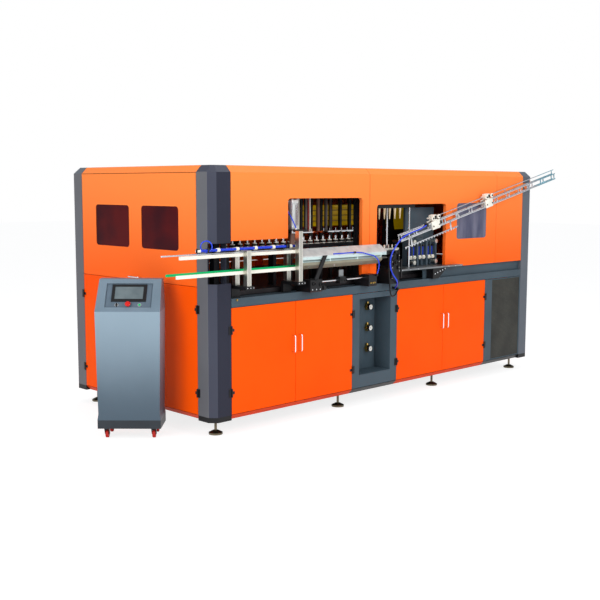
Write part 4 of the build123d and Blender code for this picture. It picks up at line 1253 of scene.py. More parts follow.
@dataclass
class Press:
    """The blow station: press table, platens, head, and what the moving platen carries.

    Attributes:
        legs_z: the heights of the table's black legs.
        rods: the box round the bright tie rods, as x, y and z.
        back_y: the depth of the moving platen's bare rear half.
        rear_y: the depth of the rear platen's bare front.
        head_z: the heights of the head's cream part.
        plate: the upper plate's spans along X, Y and Z.
        face_y: the platen's front, which its fittings reach into.
        first_bay: the middle of the left bay.
        bay_pitch: how far the next bay's middle is.
        bays: how many bays there are.
        rib: a stiffener's front and its span in height.
        rib_half: half of a stiffener's width.
        side: how far a valve stands from its bay's middle.
        valve: a valve block's front and its span in height.
        valve_half: half of its width.
        cap: a valve's round cap, as radii and heights.
        pipe_y: the pipes' middle in depth.
        pipe: a pipe's radius.
        clip: a pipe clip's front and its span in height.
        clip_half: half of its width.
    """

    legs_z: Span = (1000, 1109.9)
    rods: tuple[Span, Span, Span] = ((1960, 2320), (60, 100), (1124.5, 2000))
    back_y: Span = (151.9, 400)
    rear_y: Span = (-9, 302)
    head_z: Span = (1500, 1639.5)
    plate: tuple[Span, Span, Span] = ((2292, 2698), (127, 150), (1370.4, 1640))
    face_y: float = 121.6
    first_bay: float = 2365.0
    bay_pitch: float = 130.0
    bays: int = 3
    rib: tuple[float, Span] = (101, (1126, 1338))
    rib_half: float = 5.0
    side: float = 27.0
    valve: tuple[float, Span] = (92, (1182, 1214))
    valve_half: float = 15.0
    cap: Outline = ((0, 0), (10, 0), (10, 8), (6, 9), (6, 4), (0, 4))
    pipe_y: float = 108.0
    pipe: float = 4.5
    clip: tuple[float, Span] = (98, (1292, 1310))
    clip_half: float = 11.0

    def build(self) -> None:
        """Dresses the station and adds the moving platen's fittings."""
        x, y, z = self.rods
        rods = (within(x=x, y=y, z=z), CHROME)
        dress("press_base", ALU_DULL, (within(z=self.legs_z), BLACK_PAINT), rods)
        dress("moving_platen", PLATEN_SLATE, (within(y=self.back_y), ALUMINIUM))
        dress("rear_platen", FRAME_DARK, (within(y=self.rear_y), ALUMINIUM))
        dress("stretch_head", BLACK_PAINT, (within(z=self.head_z), CREAM))
        self.add_platen()

    def add_platen(self) -> None:
        """Adds the moving platen's upper plate, stiffeners, valves and pipes."""
        plate, valves, pipes = Shape(), Shape(), Shape()
        plate.block(*self.plate, edge=3)
        rib_y, rib_z = self.rib
        for bay in range(self.bays):
            middle = self.first_bay + self.bay_pitch * bay
            plate.block(around(middle, self.rib_half), (rib_y, self.face_y), rib_z, edge=2)
            for side in (-self.side, self.side):
                self.add_valve(valves, pipes, middle + side)
        plate.piece("platen_plate", Slot.SLATE, PLATEN_SLATE, body="moving_platen")
        clip_low, clip_high = self.clip[1]
        clips = (within(z=(clip_low - 2, clip_high + 2)), BLACK_PLASTIC)
        valves.piece("platen_valves", Slot.WHITE, WHITE_RAIL, clips, body="moving_platen")
        pipes.piece("platen_pipes", Slot.GREY, BLUE, body="moving_platen")

    def add_valve(self, valves: Shape, pipes: Shape, x: float) -> None:
        """Adds one valve with its cap, its pipe and the pipe's clip.

        Args:
            valves: the shape that gathers valves and clips.
            pipes: the shape that gathers the pipes.
            x: the valve's middle.
        """
        valve_y, valve_z = self.valve
        clip_y, clip_z = self.clip
        valves.block(around(x, self.valve_half), (valve_y, self.face_y), valve_z, edge=2)
        valves.turned(self.cap, (x, valve_y, sum(valve_z) / 2), FRONT, steps=20)
        start, end = (x, self.pipe_y, valve_z[1]), (x, self.pipe_y, clip_z[0])
        pipes.rod(start, end, self.pipe, steps=14)
        valves.block(around(x, self.clip_half), (clip_y, self.face_y), clip_z, edge=2)


@dataclass
class Gauges:
    """The three pressure gauges in their alcove, and the cups of the air filters.

    Attributes:
        ring_y: the depth of the gauges' black rims.
        x: the middle of the gauges.
        heights: their heights.
        sunk: how far a dial lies behind its rim's front.
        face: a dial, as radii and heights.
        hub: a needle's hub, the same.
        needle: a needle, the same.
        needle_way: where the needles point.
        needle_out: how far in front of the dials they turn.
        ticks: the marks round a dial.
        tick_radius: how far from the middle they stand.
        tick_half: half of a mark's width.
        tick_y: a mark's span in depth, from the dials.
        first_turn: the first mark's angle in degrees.
        sweep: the angle from the first mark to the last.
    """

    ring_y: Span = (110, 153.9)
    x: float = 1852.0
    heights: Sequence[float] = (440.0, 620.0, 800.0)
    sunk: float = 2.8
    face: Outline = ((21.5, 0), (21.5, 0.5), (0, 0.5))
    hub: Outline = ((2.6, 0), (2.6, 2.2), (0, 2.6))
    needle: Outline = ((0.9, 0), (0.3, 16), (0, 16))
    needle_way: Point = (-0.7, 0, 0.5)
    needle_out: float = 1.4
    ticks: int = 9
    tick_radius: float = 17.5
    tick_half: float = 1.0
    tick_y: Span = (-0.9, -0.2)
    first_turn: float = -45.0
    sweep: float = 270.0

    def build(self) -> None:
        """Dresses gauges and filters, and adds dials, marks and needles."""
        dress("pressure_gauges", BRASS, (within(y=self.ring_y), BLACK_PLASTIC))
        dress("air_filters", CUP)
        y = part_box("pressure_gauges")[0].y * METRE + FOOT_IN + self.sunk
        faces, marks = Shape(), Shape()
        for height in self.heights:
            faces.turned(self.face, (self.x, y, height), FRONT, steps=32)
            marks.turned(self.hub, (self.x, y, height), FRONT, steps=16)
            self.add_ticks(marks, y, height)
            pivot = (self.x, y - self.needle_out, height)
            marks.turned(self.needle, pivot, self.needle_way, steps=8)
        faces.piece("gauge_faces", Slot.WHITE, DIAL)
        marks.piece("gauge_marks", Slot.PLASTIC, BLACK_PLASTIC)

    def add_ticks(self, marks: Shape, y: float, height: float) -> None:
        """Adds the marks round one dial.

        Args:
            marks: the shape that gathers them.
            y: the dials' depth.
            height: the dial's height.
        """
        low, high = self.tick_y
        for tick in range(self.ticks):
            turn = math.radians(self.first_turn + self.sweep * tick / (self.ticks - 1))
            across = self.x + self.tick_radius * math.cos(turn)
            up = height + self.tick_radius * math.sin(turn)
            wide, tall = around(across, self.tick_half), around(up, self.tick_half)
            marks.block(wide, (y + low, y + high), tall, edge=0.1)


@dataclass(frozen=True)
class Row:
    """A row of equal cap screws that face the front, in millimetres.

    Attributes:
        xs: where each stands along X.
        y: the face that their heads sit on.
        z: the first one's height.
        radius: the heads' radius.
        rise: how much higher each next one is.
    """

    xs: Sequence[float]
    y: float
    z: float
    radius: float = 4.0
    rise: float = 0.0

    def add_to(self, shape: Shape) -> None:
        """Adds the row's screws to a shape."""
        for step, x in enumerate(self.xs):
            shape.screw((x, self.y - SEAT, self.z + self.rise * step), self.radius)


@dataclass
class Fasteners:
    """The screws of bracket, press table, slide blocks and post feet, and the slide's hubs.

    Attributes:
        bright: the rows of bright screws.
        brass: the rows of brass screws.
        hubs: each hub's x and height on the slide's front.
        hub: a hub, as radii and heights.
        hub_y: the slide's front.
        stop: the slide's stop block, as its spans along X, Y and Z.
    """

    bright: Sequence[Row] = (
        Row((2504, 2540, 2576, 2612, 2648), y=-46, z=1056, radius=6, rise=10),
        Row((2010, 2120, 2230, 2560, 2660, 2760, 2840), y=-80, z=1117),
        Row((915, 958, 1000), y=-94, z=1032, radius=5),
        Row((239, 269, 299, 759, 789, 819), y=-108, z=1092),
    )
    brass: Sequence[Row] = (
        Row((1592, 1618, 1640), y=-94, z=1040, radius=7),
        Row((232,), y=0, z=1000, radius=8),
    )
    hubs: Sequence[tuple[float, float]] = ((1006, 1068), (930, 1076), (1286, 1083))
    hub: Outline = ((0, 0), (15, 0), (15, 8), (11, 11), (9, 4), (0, 4))
    hub_y: float = -94.0
    stop: tuple[Span, Span, Span] = ((1040, 1070), (-96, -60), (1020, 1052))

    def build(self) -> None:
        """Adds the hubs and the screws."""
        hubs, bright, brass = Shape(), Shape(), Shape()
        for x, height in self.hubs:
            hubs.turned(self.hub, (x, self.hub_y, height), FRONT)
        hubs.block(*self.stop, edge=3)
        hubs.piece("slide_hubs", Slot.BLACK, BLACK_PAINT)
        for row in self.bright:
            row.add_to(bright)
        for row in self.brass:
            row.add_to(brass)
        bright.piece("bright_screws", Slot.STEEL, CHROME)
        brass.piece("brass_screws", Slot.BRASS, BRASS)


@dataclass
class Lane:
    """The bottle lane: posts, rails, air pipe and slide.

    Attributes:
        posts: the posts' middles as x and y.
        feet_z: the heights of the posts' black feet.
        groove: how far a groove's middle is from the post's, and half of its width.
        groove_depth: from well outside the post to a groove's floor, from the post's middle.
        spring: the box of the guide rails' bright part, as y and z.
        pipe: the air pipe's y and z.
        clamp_radii: the radii between which its pale clamps lie.
        shaft: the y and z of the slide's bright shaft.
        shaft_radii: the radii between which it lies.
        shaft_x: where it starts and ends along X.
        carriage_z: the heights of the carriage's black foot.
    """

    posts: Sequence[tuple[float, float]] = ((265, -80), (785, -80), (265, 50), (785, 50))
    feet_z: Span = (1000, 1104.2)
    groove: tuple[float, float] = (5.5, 1.2)
    groove_depth: Span = (-30, -19.9)
    spring: tuple[Span, Span] = ((17, 31), (1338, 1352))
    pipe: Span = (-20, 1372)
    clamp_radii: Span = (10.6, 16)
    shaft: Span = (-45, 1083)
    shaft_radii: Span = (0, 6.4)
    shaft_x: Span = (1025.2, 1569.8)
    carriage_z: Span = (1050, 1109.2)

    def build(self) -> None:
        """Dresses the lane."""
        feet = (within(z=self.feet_z), BLACK_PAINT)
        dress("rail_posts", ALUMINIUM, (self.grooves(), BLACK_PAINT), feet)
        bright_y, bright_z = self.spring
        dress("guide_rails", WHITE_RAIL, (within(z=bright_z, y=bright_y), CHROME))
        dress("wear_strip", GREEN)
        dress("air_pipe", BLUE, (round_x(self.pipe, self.clamp_radii), WHITE_RAIL))
        dress("front_rail", SLATE)
        shaft = both(round_x(self.shaft, self.shaft_radii), within(x=self.shaft_x))
        dress("slide_unit", BLACK_PAINT, (shaft, CHROME))
        dress("carriage", ALU_DULL, (within(z=self.carriage_z), BLACK_PAINT))

    def grooves(self) -> Test:
        """Makes the test that is 1 in the posts' fine grooves.

        Returns:
            The test for the grooves in the front and the left side of every post.
        """
        away, half = self.groove
        outer, floor = self.groove_depth
        lines = []
        for x, y in self.posts:
            for near in (-away, away):
                lines.append(within(x=around(x + near, half), y=(y + outer, y + floor)))
                lines.append(within(x=(x + outer, x + floor), y=around(y + near, half)))
        return either(*lines)


@dataclass
class StopCylinder:
    """The upright cylinder that stops the bottles, with its plate.

    Attributes:
        middle: the cylinder's x and y.
        foot_z: the heights of the CAD body's black foot.
        caps_z: the heights of its two end caps.
        half: half of a cap's width.
        barrel: the barrel's radius and length.
        tie_in: how far a tie rod stands from the middle along X and Y.
        tie_z: the tie rods' foot and top.
        unions: each air union's start and end.
        bright_z: the heights of the plate's bright rod.
    """

    middle: tuple[float, float] = (846.0, 60.0)
    foot_z: Span = (1480, 1494.1)
    caps_z: Sequence[Span] = ((1494.3, 1522), (1692, 1720))
    half: float = 34.0
    barrel: tuple[float, float] = (28, 170)
    tie_in: float = 27.0
    tie_z: Span = (1496, 1726)
    unions: Sequence[tuple[Point, Point]] = (
        ((796, 60, 1706), (812, 60, 1706)),
        ((800, -30, 1494), (800, -30, 1506)),
    )
    bright_z: Span = (1462.2, 1700)

    def build(self) -> None:
        """Dresses cylinder and plate, and adds the wide body with its tie rods and unions."""
        dress("stop_cylinder", BODY_GREY, (within(z=self.foot_z), BLACK_PAINT))
        x, y = self.middle
        body, ties = Shape(), Shape()
        for heights in self.caps_z:
            body.block(around(x, self.half), around(y, self.half), heights, edge=3)
        radius, long = self.barrel
        barrel = [(0, 0), (radius, 0), (radius, long), (0, long)]
        body.turned(barrel, (x, y, self.caps_z[0][1]), UP, steps=36)
        low, high = self.tie_z
        for across in around(x, self.tie_in):
            for deep in around(y, self.tie_in):
                ties.rod((across, deep, low), (across, deep, high), radius=3.5, steps=12)
        for start, end in self.unions:
            ties.rod(start, end, radius=8, steps=18)
        body.piece("cylinder_body", Slot.ALUMINIUM, BODY_GREY)
        ties.piece("cylinder_ties", Slot.STEEL, CHROME)
        dress("stop_plate", BROWN, (within(z=self.bright_z), CHROME))


@dataclass
class AirLines:
    """The loop at the air pipe's end, its black fittings and the trough's stiff pipe.

    Attributes:
        loop: the loop's middle.
        loop_axis: the line that it turns about.
        loop_size: its radius and half its tube's thickness.
        stiff: the stiff pipe's start and end.
        blocks: each fitting, as its spans along X, Y and Z.
    """

    loop: Point = (-64, -20, 1400)
    loop_axis: Point = (0.62, 0.78, 0.08)
    loop_size: tuple[float, float] = (40, 4.5)
    stiff: tuple[Point, Point] = ((1150, -92, 1297), (1398, -93, 1298))
    blocks: Sequence[tuple[Span, Span, Span]] = (
        ((-150, -128), (-32, -8), (1356, 1388)),
        ((-60, -30), (-34, -6), (1358, 1386)),
        ((700, 712), (-36, -4), (1356, 1389)),
        ((720, 732), (-36, -4), (1356, 1389)),
    )

    def build(self) -> None:
        """Adds the loop, the stiff pipe and the fittings."""
        lines, fittings = Shape(), Shape()
        lines.ring(self.loop, self.loop_axis, *self.loop_size)
        lines.rod(*self.stiff, radius=5)
        lines.piece("air_lines", Slot.GREY, BLUE)
        for spans in self.blocks:
            fittings.block(*spans, edge=2)
        fittings.piece("pipe_fittings", Slot.PLASTIC, BLACK_PLASTIC)


@dataclass
class Troughs:
    """The upper and the lower trough, in place of the plain one.

    Attributes:
        upper: the upper trough's outline, as y and z.
        upper_x: its span along X.
        lower: the lower trough's outline, as y and z.
        lower_x: its span along X.
        webs: where the webs between the two start along X.
        web: a web's width.
        web_yz: its spans in depth and height.
        wall: the box round the lower trough's duller wall, as y and z.
        top_z: the heights of its paler top.
        low_screws: where the screws under the wall stand along X.
        low_at: their y and z, as a screw is placed.
        low_way: where they point.
        top_row: the screws of the top.
    """

    upper: Outline = (
        (-8, 1345),
        (-86, 1292),
        (-86, 1262),
        (-82, 1262),
        (-82, 1289),
        (-8, 1340),
    )
    upper_x: Span = (814, 1800)
    lower: Outline = (
        (-8, 1284),
        (-58, 1264),
        (-86, 1240),
        (-86, 1222),
        (-46, 1190),
        (-8, 1190),
        (-8, 1193),
        (-44, 1193),
        (-83, 1224),
        (-83, 1238),
        (-57, 1261),
        (-8, 1280),
    )
    lower_x: Span = (812, 1740)
    webs: Sequence[float] = (816, 1120, 1440, 1726)
    web: float = 10.0
    web_yz: tuple[Span, Span] = ((-84, -8), (1236, 1292))
    wall: tuple[Span, Span] = ((-87, -40), (1180, 1243))
    top_z: Span = (1243, 1284.2)
    low_screws: Sequence[float] = (900, 1180, 1500)
    low_at: tuple[float, float] = (-70, 1209)
    low_way: Point = (0, -0.78, -0.62)
    top_row: Row = Row((860, 1000, 1220, 1390, 1560, 1740), y=-86, z=1277)

    def build(self) -> None:
        """Adds both troughs with their webs and screws."""
        shape = Shape()
        shape.folded(self.upper, self.upper_x)
        shape.folded(self.lower, self.lower_x)
        for x in self.webs:
            shape.block((x, x + self.web), *self.web_yz, edge=1)
        wall = (within(y=self.wall[0], z=self.wall[1]), TROUGH_SIDE)
        top = (within(z=self.top_z), TROUGH_TOP)
        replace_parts(shape.piece("troughs", Slot.ALUMINIUM, BODY_GREY, wall, top), "trough")
        screws = Shape()
        for x in self.low_screws:
            screws.screw((x, *self.low_at), radius=5, along=self.low_way)
        self.top_row.add_to(screws)
        screws.piece("trough_screws", Slot.STEEL, CHROME)


@dataclass
class Loader:
    """The loader's plates, rams and gripper beam between the troughs and the chute.

    Attributes:
        front_y: the plates' front.
        back_y: their back, just in front of what carries them.
        plates: each upright plate's start along X and its span in height.
        plate: a plate's thickness.
        shelf: the shelf under the beam, as its spans along X, Y and Z.
        boss: the boss's spans along X and Z.
        boss_y: its front.
        cap: the boss's round cap, as radii and heights.
        beam: the gripper beam, as its spans along X, Y and Z.
        fingers: how many fingers stand on the beam.
        finger_x: where the first one starts.
        finger_pitch: how far the next one is.
        finger: a finger's width.
        finger_yz: a finger's spans in depth and height.
        rams: each ram's start, end and radius.
        screws: where the plates' screws stand along X.
        screws_z: their heights.
    """

    front_y: float = -108.0
    back_y: float = -94.4
    plates: Sequence[tuple[float, Span]] = (
        (1806, (1130, 1246)),
        (1838, (1060, 1292)),
        (1926, (1130, 1300)),
        (1960, (1060, 1216)),
    )
    plate: float = 14.0
    shelf: tuple[Span, Span, Span] = ((1796, 1950), (-90, -30), (1262.4, 1290))
    boss: tuple[Span, Span] = ((1866, 1912), (1168, 1214))
    boss_y: float = -112.0
    cap: Outline = ((0, 0), (15, 0), (15, 10), (10, 12), (10, 6), (0, 6))
    beam: tuple[Span, Span, Span] = ((1790, 1984), (-62, -38), (1290.4, 1312))
    fingers: int = 4
    finger_x: float = 1804.0
    finger_pitch: float = 48.0
    finger: float = 9.0
    finger_yz: tuple[Span, Span] = ((-58, -42), (1312, 1340))
    rams: Sequence[tuple[Point, Point, float]] = (
        ((1700, -52, 1236), (1836, -52, 1236), 9),
        ((1850, -101, 1080), (1850, -101, 1058), 6),
    )
    screws: Sequence[float] = (1845, 1933)
    screws_z: Sequence[float] = (1150, 1200, 1250)

    def build(self) -> None:
        """Adds the black plates, then the bright beam, rams and screws."""
        dark, bright = Shape(), Shape()
        for x, heights in self.plates:
            dark.block((x, x + self.plate), (self.front_y, self.back_y), heights, edge=3)
        dark.block(*self.shelf, edge=3)
        boss_x, boss_z = self.boss
        dark.block(boss_x, (self.boss_y, self.back_y), boss_z, edge=4)
        dark.turned(self.cap, (sum(boss_x) / 2, self.boss_y, sum(boss_z) / 2), FRONT)
        self.add_beam(bright)
        for start, end, radius in self.rams:
            bright.rod(start, end, radius)
        for x in self.screws:
            for z in self.screws_z:
                bright.screw((x, self.front_y - SEAT, z), radius=4)
        dark.piece("loader_plates", Slot.BLACK, BLACK_PAINT)
        bright.piece("gripper", Slot.STEEL, ALUMINIUM)

    def add_beam(self, bright: Shape) -> None:
        """Adds the gripper beam with its fingers and their screws.

        Args:
            bright: the shape that gathers them.
        """
        bright.block(*self.beam, edge=2)
        _, (front, _), (low, high) = self.beam
        for step in range(self.fingers):
            x = self.finger_x + self.finger_pitch * step
            bright.block((x, x + self.finger), *self.finger_yz, edge=2)
            bright.screw((x + 4, front - SEAT, round((low + high) / 2)), radius=4)


@dataclass
class Chute:
    """The preform chute's open rails, comb, guide and clamps, in place of its plain sides.

    Its shapes are given along its own line: x runs up the slope and z stands square to it.

    Attributes:
        foot: where the chute's line starts, in the cabinet's millimetres.
        slope: how steep it is, in degrees.
        long: its length.
        high: half of the height of its sides.
        outer: half of its width.
        wall: how thick its sides are.
        flange: the height of a side's upper and lower rail.
        stile: where the first upright starts, the width of one and the way to the next.
        stiles: how many uprights a side has.
        tie: the first cross tie and the way to the next.
        ties: how many cross ties there are.
        guide: how high over the line's middle the guide rod and the clamps' rollers run.
        guide_x: where the guide rod starts.
        hangers: where its hangers stand.
        hanger: a hanger's width along the chute.
        comb_x: the comb's span along the chute.
        comb_z: the height of its top.
        comb: its width and its height.
        teeth: how many teeth it has.
        tooth: a tooth's width, and the way to the next.
        tooth_z: how far under the comb's top a tooth starts and ends.
        comb_arms: where its two arms stand.
        arm: an arm's width along the chute and its thickness.
        brackets: where the two brackets to the machine start.
        bracket: a bracket's width along the chute and how far back it reaches.
        clamps: where the two clamps start.
        clamp: a clamp's length and how far its jaws stand out.
        jaw: how far a jaw reaches below and above the sides.
        bridge: where a clamp's bridge starts and ends along it, and its height.
        latch: where its black latch starts and ends along it, and its two heights over the side.
        rollers: where the rollers are along a clamp.
        roller: a roller's radius.
        lip: how far a clamp's bridge stands out from a side.
        pin: how far the rollers' front does.
        hub: a roller's hub, as radii and heights.
        tip_x: the end whose steel looks blue, in the cabinet's millimetres.
    """

    foot: Point = (1990.0, -60.0, 1388.0)
    slope: float = 12.65
    long: float = 2480.0
    high: float = 31.0
    outer: float = 18.0
    wall: float = 5.0
    flange: float = 11.0
    stile: tuple[float, float, float] = (4, 14, 204)
    stiles: int = 13
    tie: tuple[float, float] = (110, 370)
    ties: int = 7
    guide: float = 65.0
    guide_x: float = 396.0
    hangers: Sequence[float] = (1600, 2040, 2440)
    hanger: float = 8.0
    comb_x: Span = (40, 800)
    comb_z: float = -87.0
    comb: tuple[float, float] = (8, 8)
    teeth: int = 19
    tooth: tuple[float, float] = (20, 40)
    tooth_z: Span = (-18, -7)
    comb_arms: Sequence[float] = (120, 680)
    arm: tuple[float, float] = (20, 3)
    brackets: Sequence[float] = (840, 2010)
    bracket: tuple[float, float] = (40, 60)
    clamps: Sequence[float] = (421.6, 1240.0)
    clamp: tuple[float, float] = (110, 14)
    jaw: tuple[float, float] = (6, 8)
    bridge: tuple[float, float, float] = (34, 76, 48)
    latch: tuple[float, float, float, float] = (46, 64, 20, 50)
    rollers: Sequence[float] = (14, 96)
    roller: float = 19.0
    lip: float = 12.0
    pin: float = 22.0
    hub: Outline = ((8, 0), (8, 5), (5, 6), (5, 2), (0, 2))
    tip_x: Span = (4100, 4600)

    def build(self) -> None:
        """Adds the rails, which replace the plain chute, and the clamps."""
        place = Matrix.Translation(at(*self.foot))
        place @= Matrix.Rotation(-math.radians(self.slope), 4, "Y")
        rails, clamps, dark = Shape(place), Shape(place), Shape(place)
        for side in (-1, 1):
            self.add_side(rails, sorted((side * self.outer, side * (self.outer - self.wall))))
        self.add_ties(rails)
        self.add_comb(rails)
        wide, back = self.bracket
        for x in self.brackets:
            rails.block((x, x + wide), (self.outer, back), around(0, self.high), edge=2)
        for x in self.clamps:
            self.add_clamp(clamps, dark, x)
        tip = (within(x=self.tip_x), TIP_STEEL)
        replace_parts(rails.piece("chute_rails", Slot.STEEL, STEEL_X, tip), "preform_chute")
        clamps.piece("chute_clamps", Slot.WHITE, WHITE_RAIL)
        dark.piece("chute_hubs", Slot.BLACK, BLACK_PAINT)

    def add_side(self, rails: Shape, y: Span) -> None:
        """Adds one side: two long rails with uprights between them.

        Args:
            rails: the shape that gathers the chute's steel.
            y: the side's span in depth.
        """
        for low in (-self.high, self.high - self.flange):
            rails.block((0, self.long), y, (low, low + self.flange), edge=1)
        first, wide, pitch = self.stile
        inside = around(0, self.high - self.flange + 1)
        for step in range(self.stiles):
            x = first + pitch * step
            rails.block((x, x + wide), y, inside, edge=1)

    def add_ties(self, rails: Shape) -> None:
        """Adds the cross ties, and the guide rod over the chute with its hangers.

        Args:
            rails: the shape that gathers the chute's steel.
        """
        first, pitch = self.tie
        near, far = around(0, self.outer)
        low, seat = -self.high + self.flange - 6, self.high - self.flange - 1
        for step in range(self.ties):
            x = first + pitch * step
            rails.rod((x, near, low), (x, far, low), radius=4, steps=12)
        start, end = (self.guide_x, 0, self.guide), (self.long, 0, self.guide)
        rails.rod(start, end, radius=4, steps=16)
        for x in self.hangers:
            rails.block((x, x + self.hanger), (-3, 3), (seat, self.guide), edge=1)
            rails.block((x, x + self.hanger), (near, far), (seat, seat + 4), edge=1)

    def add_comb(self, rails: Shape) -> None:
        """Adds the comb under the chute's foot.

        Args:
            rails: the shape that gathers the chute's steel.
        """
        deep, tall = self.comb
        wide, pitch = self.tooth
        arm, thick = self.arm
        near, top = -self.outer, self.comb_z
        low, high = (top + down for down in self.tooth_z)
        rails.block(self.comb_x, (near, near + deep), (top - tall, top), edge=1)
        for step in range(self.teeth):
            x = self.comb_x[0] + pitch * step
            rails.block((x, x + wide), (near, near + deep), (low, high), edge=1)
        for x in self.comb_arms:
            rails.block((x, x + arm), (near - thick, near), (low, -self.high + 20), edge=1)

    def add_clamp(self, clamps: Shape, dark: Shape, start: float) -> None:
        """Adds one clamp: jaws, bridge, two rollers on their pins, and black hubs.

        Args:
            clamps: the shape that gathers the pale parts.
            dark: the shape that gathers the black ones.
            start: where the clamp starts along the chute.
        """
        long, out = self.clamp
        outer, guide = self.outer, self.guide
        lip, pin = outer + self.lip, outer + self.pin
        below, above = self.jaw
        foot, top = -self.high - below, self.high + above
        for side in (-1, 1):
            jaw = sorted((side * outer, side * (outer + out)))
            clamps.block((start, start + long), jaw, (foot, top), edge=4)
        first, last, tall = self.bridge
        clamps.block((start + first, start + last), (-lip, lip), (top, top + tall), edge=4)
        for x in (start + along for along in self.rollers):
            clamps.rod((x, -pin, guide), (x, -lip, guide), self.roller, steps=28)
            clamps.rod((x, -lip, guide), (x, lip, guide), radius=6, steps=14)
            dark.turned(self.hub, (x, -pin, guide), FRONT, steps=20)
            dark.screw((x, -outer - out - SEAT, -6), radius=6)
        first, last, low, high = self.latch
        spans = (start + first, start + last), (-pin + 2, -lip), (self.high + low, self.high + high)
        dark.block(*spans, edge=2)


@dataclass
class Console:
    """The operator's console: shell, panel, screen, buttons and casters.

    Attributes:
        wheels: how many caster wheels it stands on.
        plinth_z: the heights of its dark plinth.
        desk_z: the heights of its sloping desk.
        turn: which way the desk faces, in degrees.
        middle: the middle of the desk's near edge, as x and y.
        edge_z: that edge's height in metres.
        rise: how much the desk's plane rises, in metres.
        run: how deep it is, in metres.
        glass_across: the glass's span across the desk's plane, in metres.
        glass_up: its span up the plane.
        glass_out: how far out the sunk glass may lie.
        ring_out: from how far out the buttons' rings stand proud.
    """

    wheels: int = 4
    plinth_z: Span = (60, 142.0)
    desk_z: Span = (930.5, 1200)
    turn: float = -44.6
    middle: tuple[float, float] = (-420, 438)
    edge_z: float = 0.930
    rise: float = 0.220
    run: float = 0.165
    glass_across: Span = (-0.1018, 0.1018)
    glass_up: Span = (-0.0298, 0.0718)
    glass_out: float = 0.0002
    ring_out: float = -0.0077

    def build(self) -> None:
        """Dresses the console."""
        plinth = (within(z=self.plinth_z), PLINTH_GREY)
        # The shell's grade from dark foot to pale top is painted shade and painted reflection.
        dress("console_shell", CONSOLE_GREY, plinth, (within(z=self.desk_z), DESK_GREY))
        dress("console_panel", GREY_PLASTIC, (self.is_ring, CHROME))
        # The glass's faint glow is painted reflection.
        dress("console_screen", BLACK_PLASTIC, (self.is_glass, GLASS))
        dress("selector_knob", BLACK_PLASTIC)
        dress("stop_button", RED_PLASTIC)
        dress("green_button", GREEN)
        dress(("caster_fork_1", "caster_fork_2", "rear_caster_forks"), BLACK_PAINT)
        dress([f"caster_wheel_{number + 1}" for number in range(self.wheels)], RED_RUBBER)

    def desk(self, graph: Graph) -> tuple[Value, Value, Value]:
        """Measures a point from the middle of the desk's plane.

        Args:
            graph: the material's graph.

        Returns:
            The distances across, up and out of the plane, in metres.
        """
        turn = math.radians(self.turn)
        away_x = graph.x - (self.middle[0] - FOOT_IN) / METRE
        away_y = graph.y - (self.middle[1] - FOOT_IN) / METRE
        across = away_x * math.cos(turn) + away_y * math.sin(turn)
        deep = away_y * math.cos(turn) - away_x * math.sin(turn)
        shrink = 1 / math.hypot(self.rise, self.run)
        back = deep - self.run / 2
        tall = graph.z - (self.edge_z + self.rise / 2)
        up = (back * self.run + tall * self.rise) * shrink
        out = (tall * self.run - back * self.rise) * shrink
        return across, up, out

    def is_glass(self, graph: Graph) -> Value:
        """Tells the screen's sunk glass from its frame.

        Args:
            graph: the material's graph.

        Returns:
            1 on the glass.
        """
        across, up, out = self.desk(graph)
        left, right = self.glass_across
        low, high = self.glass_up
        wide = (across > left) * (across < right)
        return wide * ((up > low) * (up < high)) * (out < self.glass_out)

    def is_ring(self, graph: Graph) -> Value:
        """Returns 1 on the buttons' rings, which stand above the panel."""
        return self.desk(graph)[2] > self.ring_out


# Studio


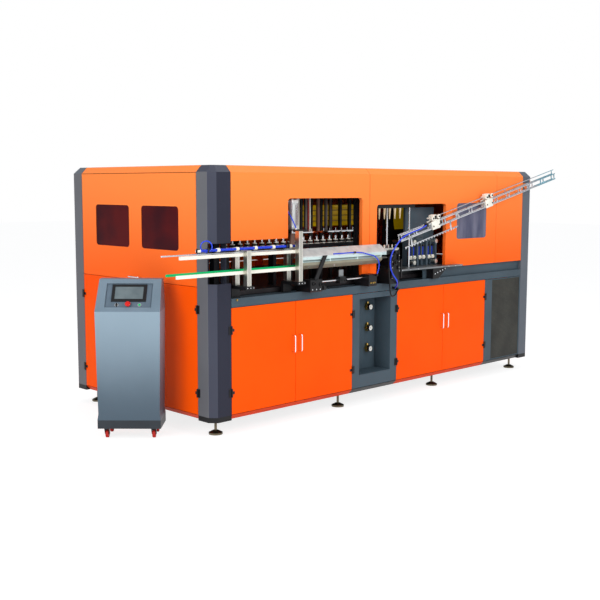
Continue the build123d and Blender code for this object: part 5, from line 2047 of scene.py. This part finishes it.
@dataclass
class Studio:
    """The pale floor, the soft lamps, the world and the camera.

    Attributes:
        eye: the camera's place, from the near foot.
        yaw: how far right of +Y the camera looks, in degrees.
        pitch: how far below the horizon it looks, in degrees.
        roll: its turn about its own line of sight, in degrees.
        lens: its focal length in millimetres.
        sensor: the width of its picture in millimetres.
        reach: how far it sees, in metres.
        floor_size: half the floor's width in metres.
        floor_cover: how much of the floor's own tone its white hides from the camera.
        floor_white: how bright that white is.
        sky: the colour of the even light round the machine.
        sky_power: how strong it is.
        lamps: each lamp's name, place, side in metres and power in watts.
        target: what the lamps point at.
    """

    eye: Point = (-4.4841, -5.4328, 1.8159)
    yaw: float = 44.598
    pitch: float = 6.645
    roll: float = 0.14
    lens: float = 58.2
    sensor: float = 36.0
    reach: float = 200.0
    floor_size: float = 40.0
    floor_cover: float = 0.62
    floor_white: float = 1.3
    sky: Colour = (0.95, 0.97, 1.0)
    sky_power: float = 0.5
    lamps: Sequence[tuple[str, Point, float, float]] = (
        ("lamp_left", (-6.5, -1.8, 3.4), 4.0, 270.0),
        ("lamp_front", (1.5, -6.5, 4.0), 4.5, 250.0),
        ("lamp_top", (2.0, 0.8, 5.6), 5.0, 120.0),
    )
    target: Point = (1.6, 0.4, 0.9)

    def build(self) -> None:
        """Makes camera, floor, lamps and world."""
        self.camera()
        self.floor()
        self.world()
        for name, place, size, power in self.lamps:
            self.lamp(name, Vector(place), size, power)

    def camera(self) -> None:
        """Makes the camera that looks as the photograph does."""
        data = bpy.data.cameras.new("camera")
        data.lens = self.lens
        data.sensor_width = self.sensor
        data.clip_end = self.reach
        camera = place_object("camera", data)
        turn = Matrix.Rotation(math.radians(-self.yaw), 4, "Z")
        turn @= Matrix.Rotation(math.radians(90.0 - self.pitch), 4, "X")
        turn @= Matrix.Rotation(math.radians(self.roll), 4, "Z")
        camera.matrix_world = Matrix.Translation(self.eye) @ turn
        bpy.context.scene.camera = camera

    def floor(self) -> None:
        """Makes the pale floor, which shows white to the camera and keeps the shadow."""
        mesh = bpy.data.meshes.new("floor")
        shape = bmesh.new()
        bmesh.ops.create_grid(shape, x_segments=1, y_segments=1, size=self.floor_size)
        shape.to_mesh(mesh)
        shape.free()
        graph = Graph("floor_finish")
        cover = self.seen(graph) * self.floor_cover
        sockets = {0: WHITE, 1: self.floor_white}
        plain = graph.node("ShaderNodeEmission", sockets=sockets).outputs[0]
        mesh.materials.append(graph.finish(graph.blend(cover, FLOOR_TONE.shader(graph), plain)))
        place_object("floor", mesh)

    @staticmethod
    def seen(graph: Graph) -> Value:
        """Finds the rays that show the background: the camera's, reflected and clear ones.

        Args:
            graph: the floor's graph.

        Returns:
            1 for those rays.
        """
        path = graph.node("ShaderNodeLightPath")
        rays = ("Is Camera Ray", "Is Glossy Ray", "Is Transmission Ray")
        camera, glossy, clear = (Value(graph, path.outputs[name]) for name in rays)
        return (camera + glossy + clear).clear()

    def world(self) -> None:
        """Makes the world white to the camera and a soft even light for the rest."""
        world = bpy.data.worlds.new("studio")
        world.use_nodes = True
        nodes = Nodes(world.node_tree)
        camera = nodes.node("ShaderNodeLightPath").outputs["Is Camera Ray"]
        sky = {0: (*self.sky, 1.0), 1: self.sky_power}
        soft = nodes.node("ShaderNodeBackground", sockets=sky).outputs[0]
        plain = nodes.node("ShaderNodeBackground", sockets={0: WHITE}).outputs[0]
        nodes.node("ShaderNodeOutputWorld", sockets={0: nodes.blend(camera, soft, plain)})
        bpy.context.scene.world = world
        bpy.context.scene.view_settings.view_transform = "Standard"

    def lamp(self, name: str, place: Vector, size: float, power: float) -> None:
        """Makes one square soft lamp that points at the machine.

        Args:
            name: the lamp's name.
            place: where it hangs.
            size: its side in metres.
            power: its power in watts.
        """
        data = bpy.data.lights.new(name, "AREA")
        data.size = size
        data.energy = power
        aim = (Vector(self.target) - place).to_track_quat("-Z", "Y")
        lamp = place_object(name, data)
        lamp.matrix_world = Matrix.Translation(place) @ aim.to_matrix().to_4x4()


def main() -> None:
    """Builds the machine in order."""
    logging.basicConfig(level=logging.INFO, format="%(message)s")
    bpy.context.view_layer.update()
    works = (Base(), Oven(), Press(), Gauges(), Fasteners())
    lane = (Lane(), StopCylinder(), AirLines(), Troughs(), Loader(), Chute())
    for part in (Studio(), Hoses(), Cabinet(), *works, *lane, Console()):
        part.build()
        LOG.info("built %s", type(part).__name__)
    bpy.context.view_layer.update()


if __name__ == "__main__":
    main()
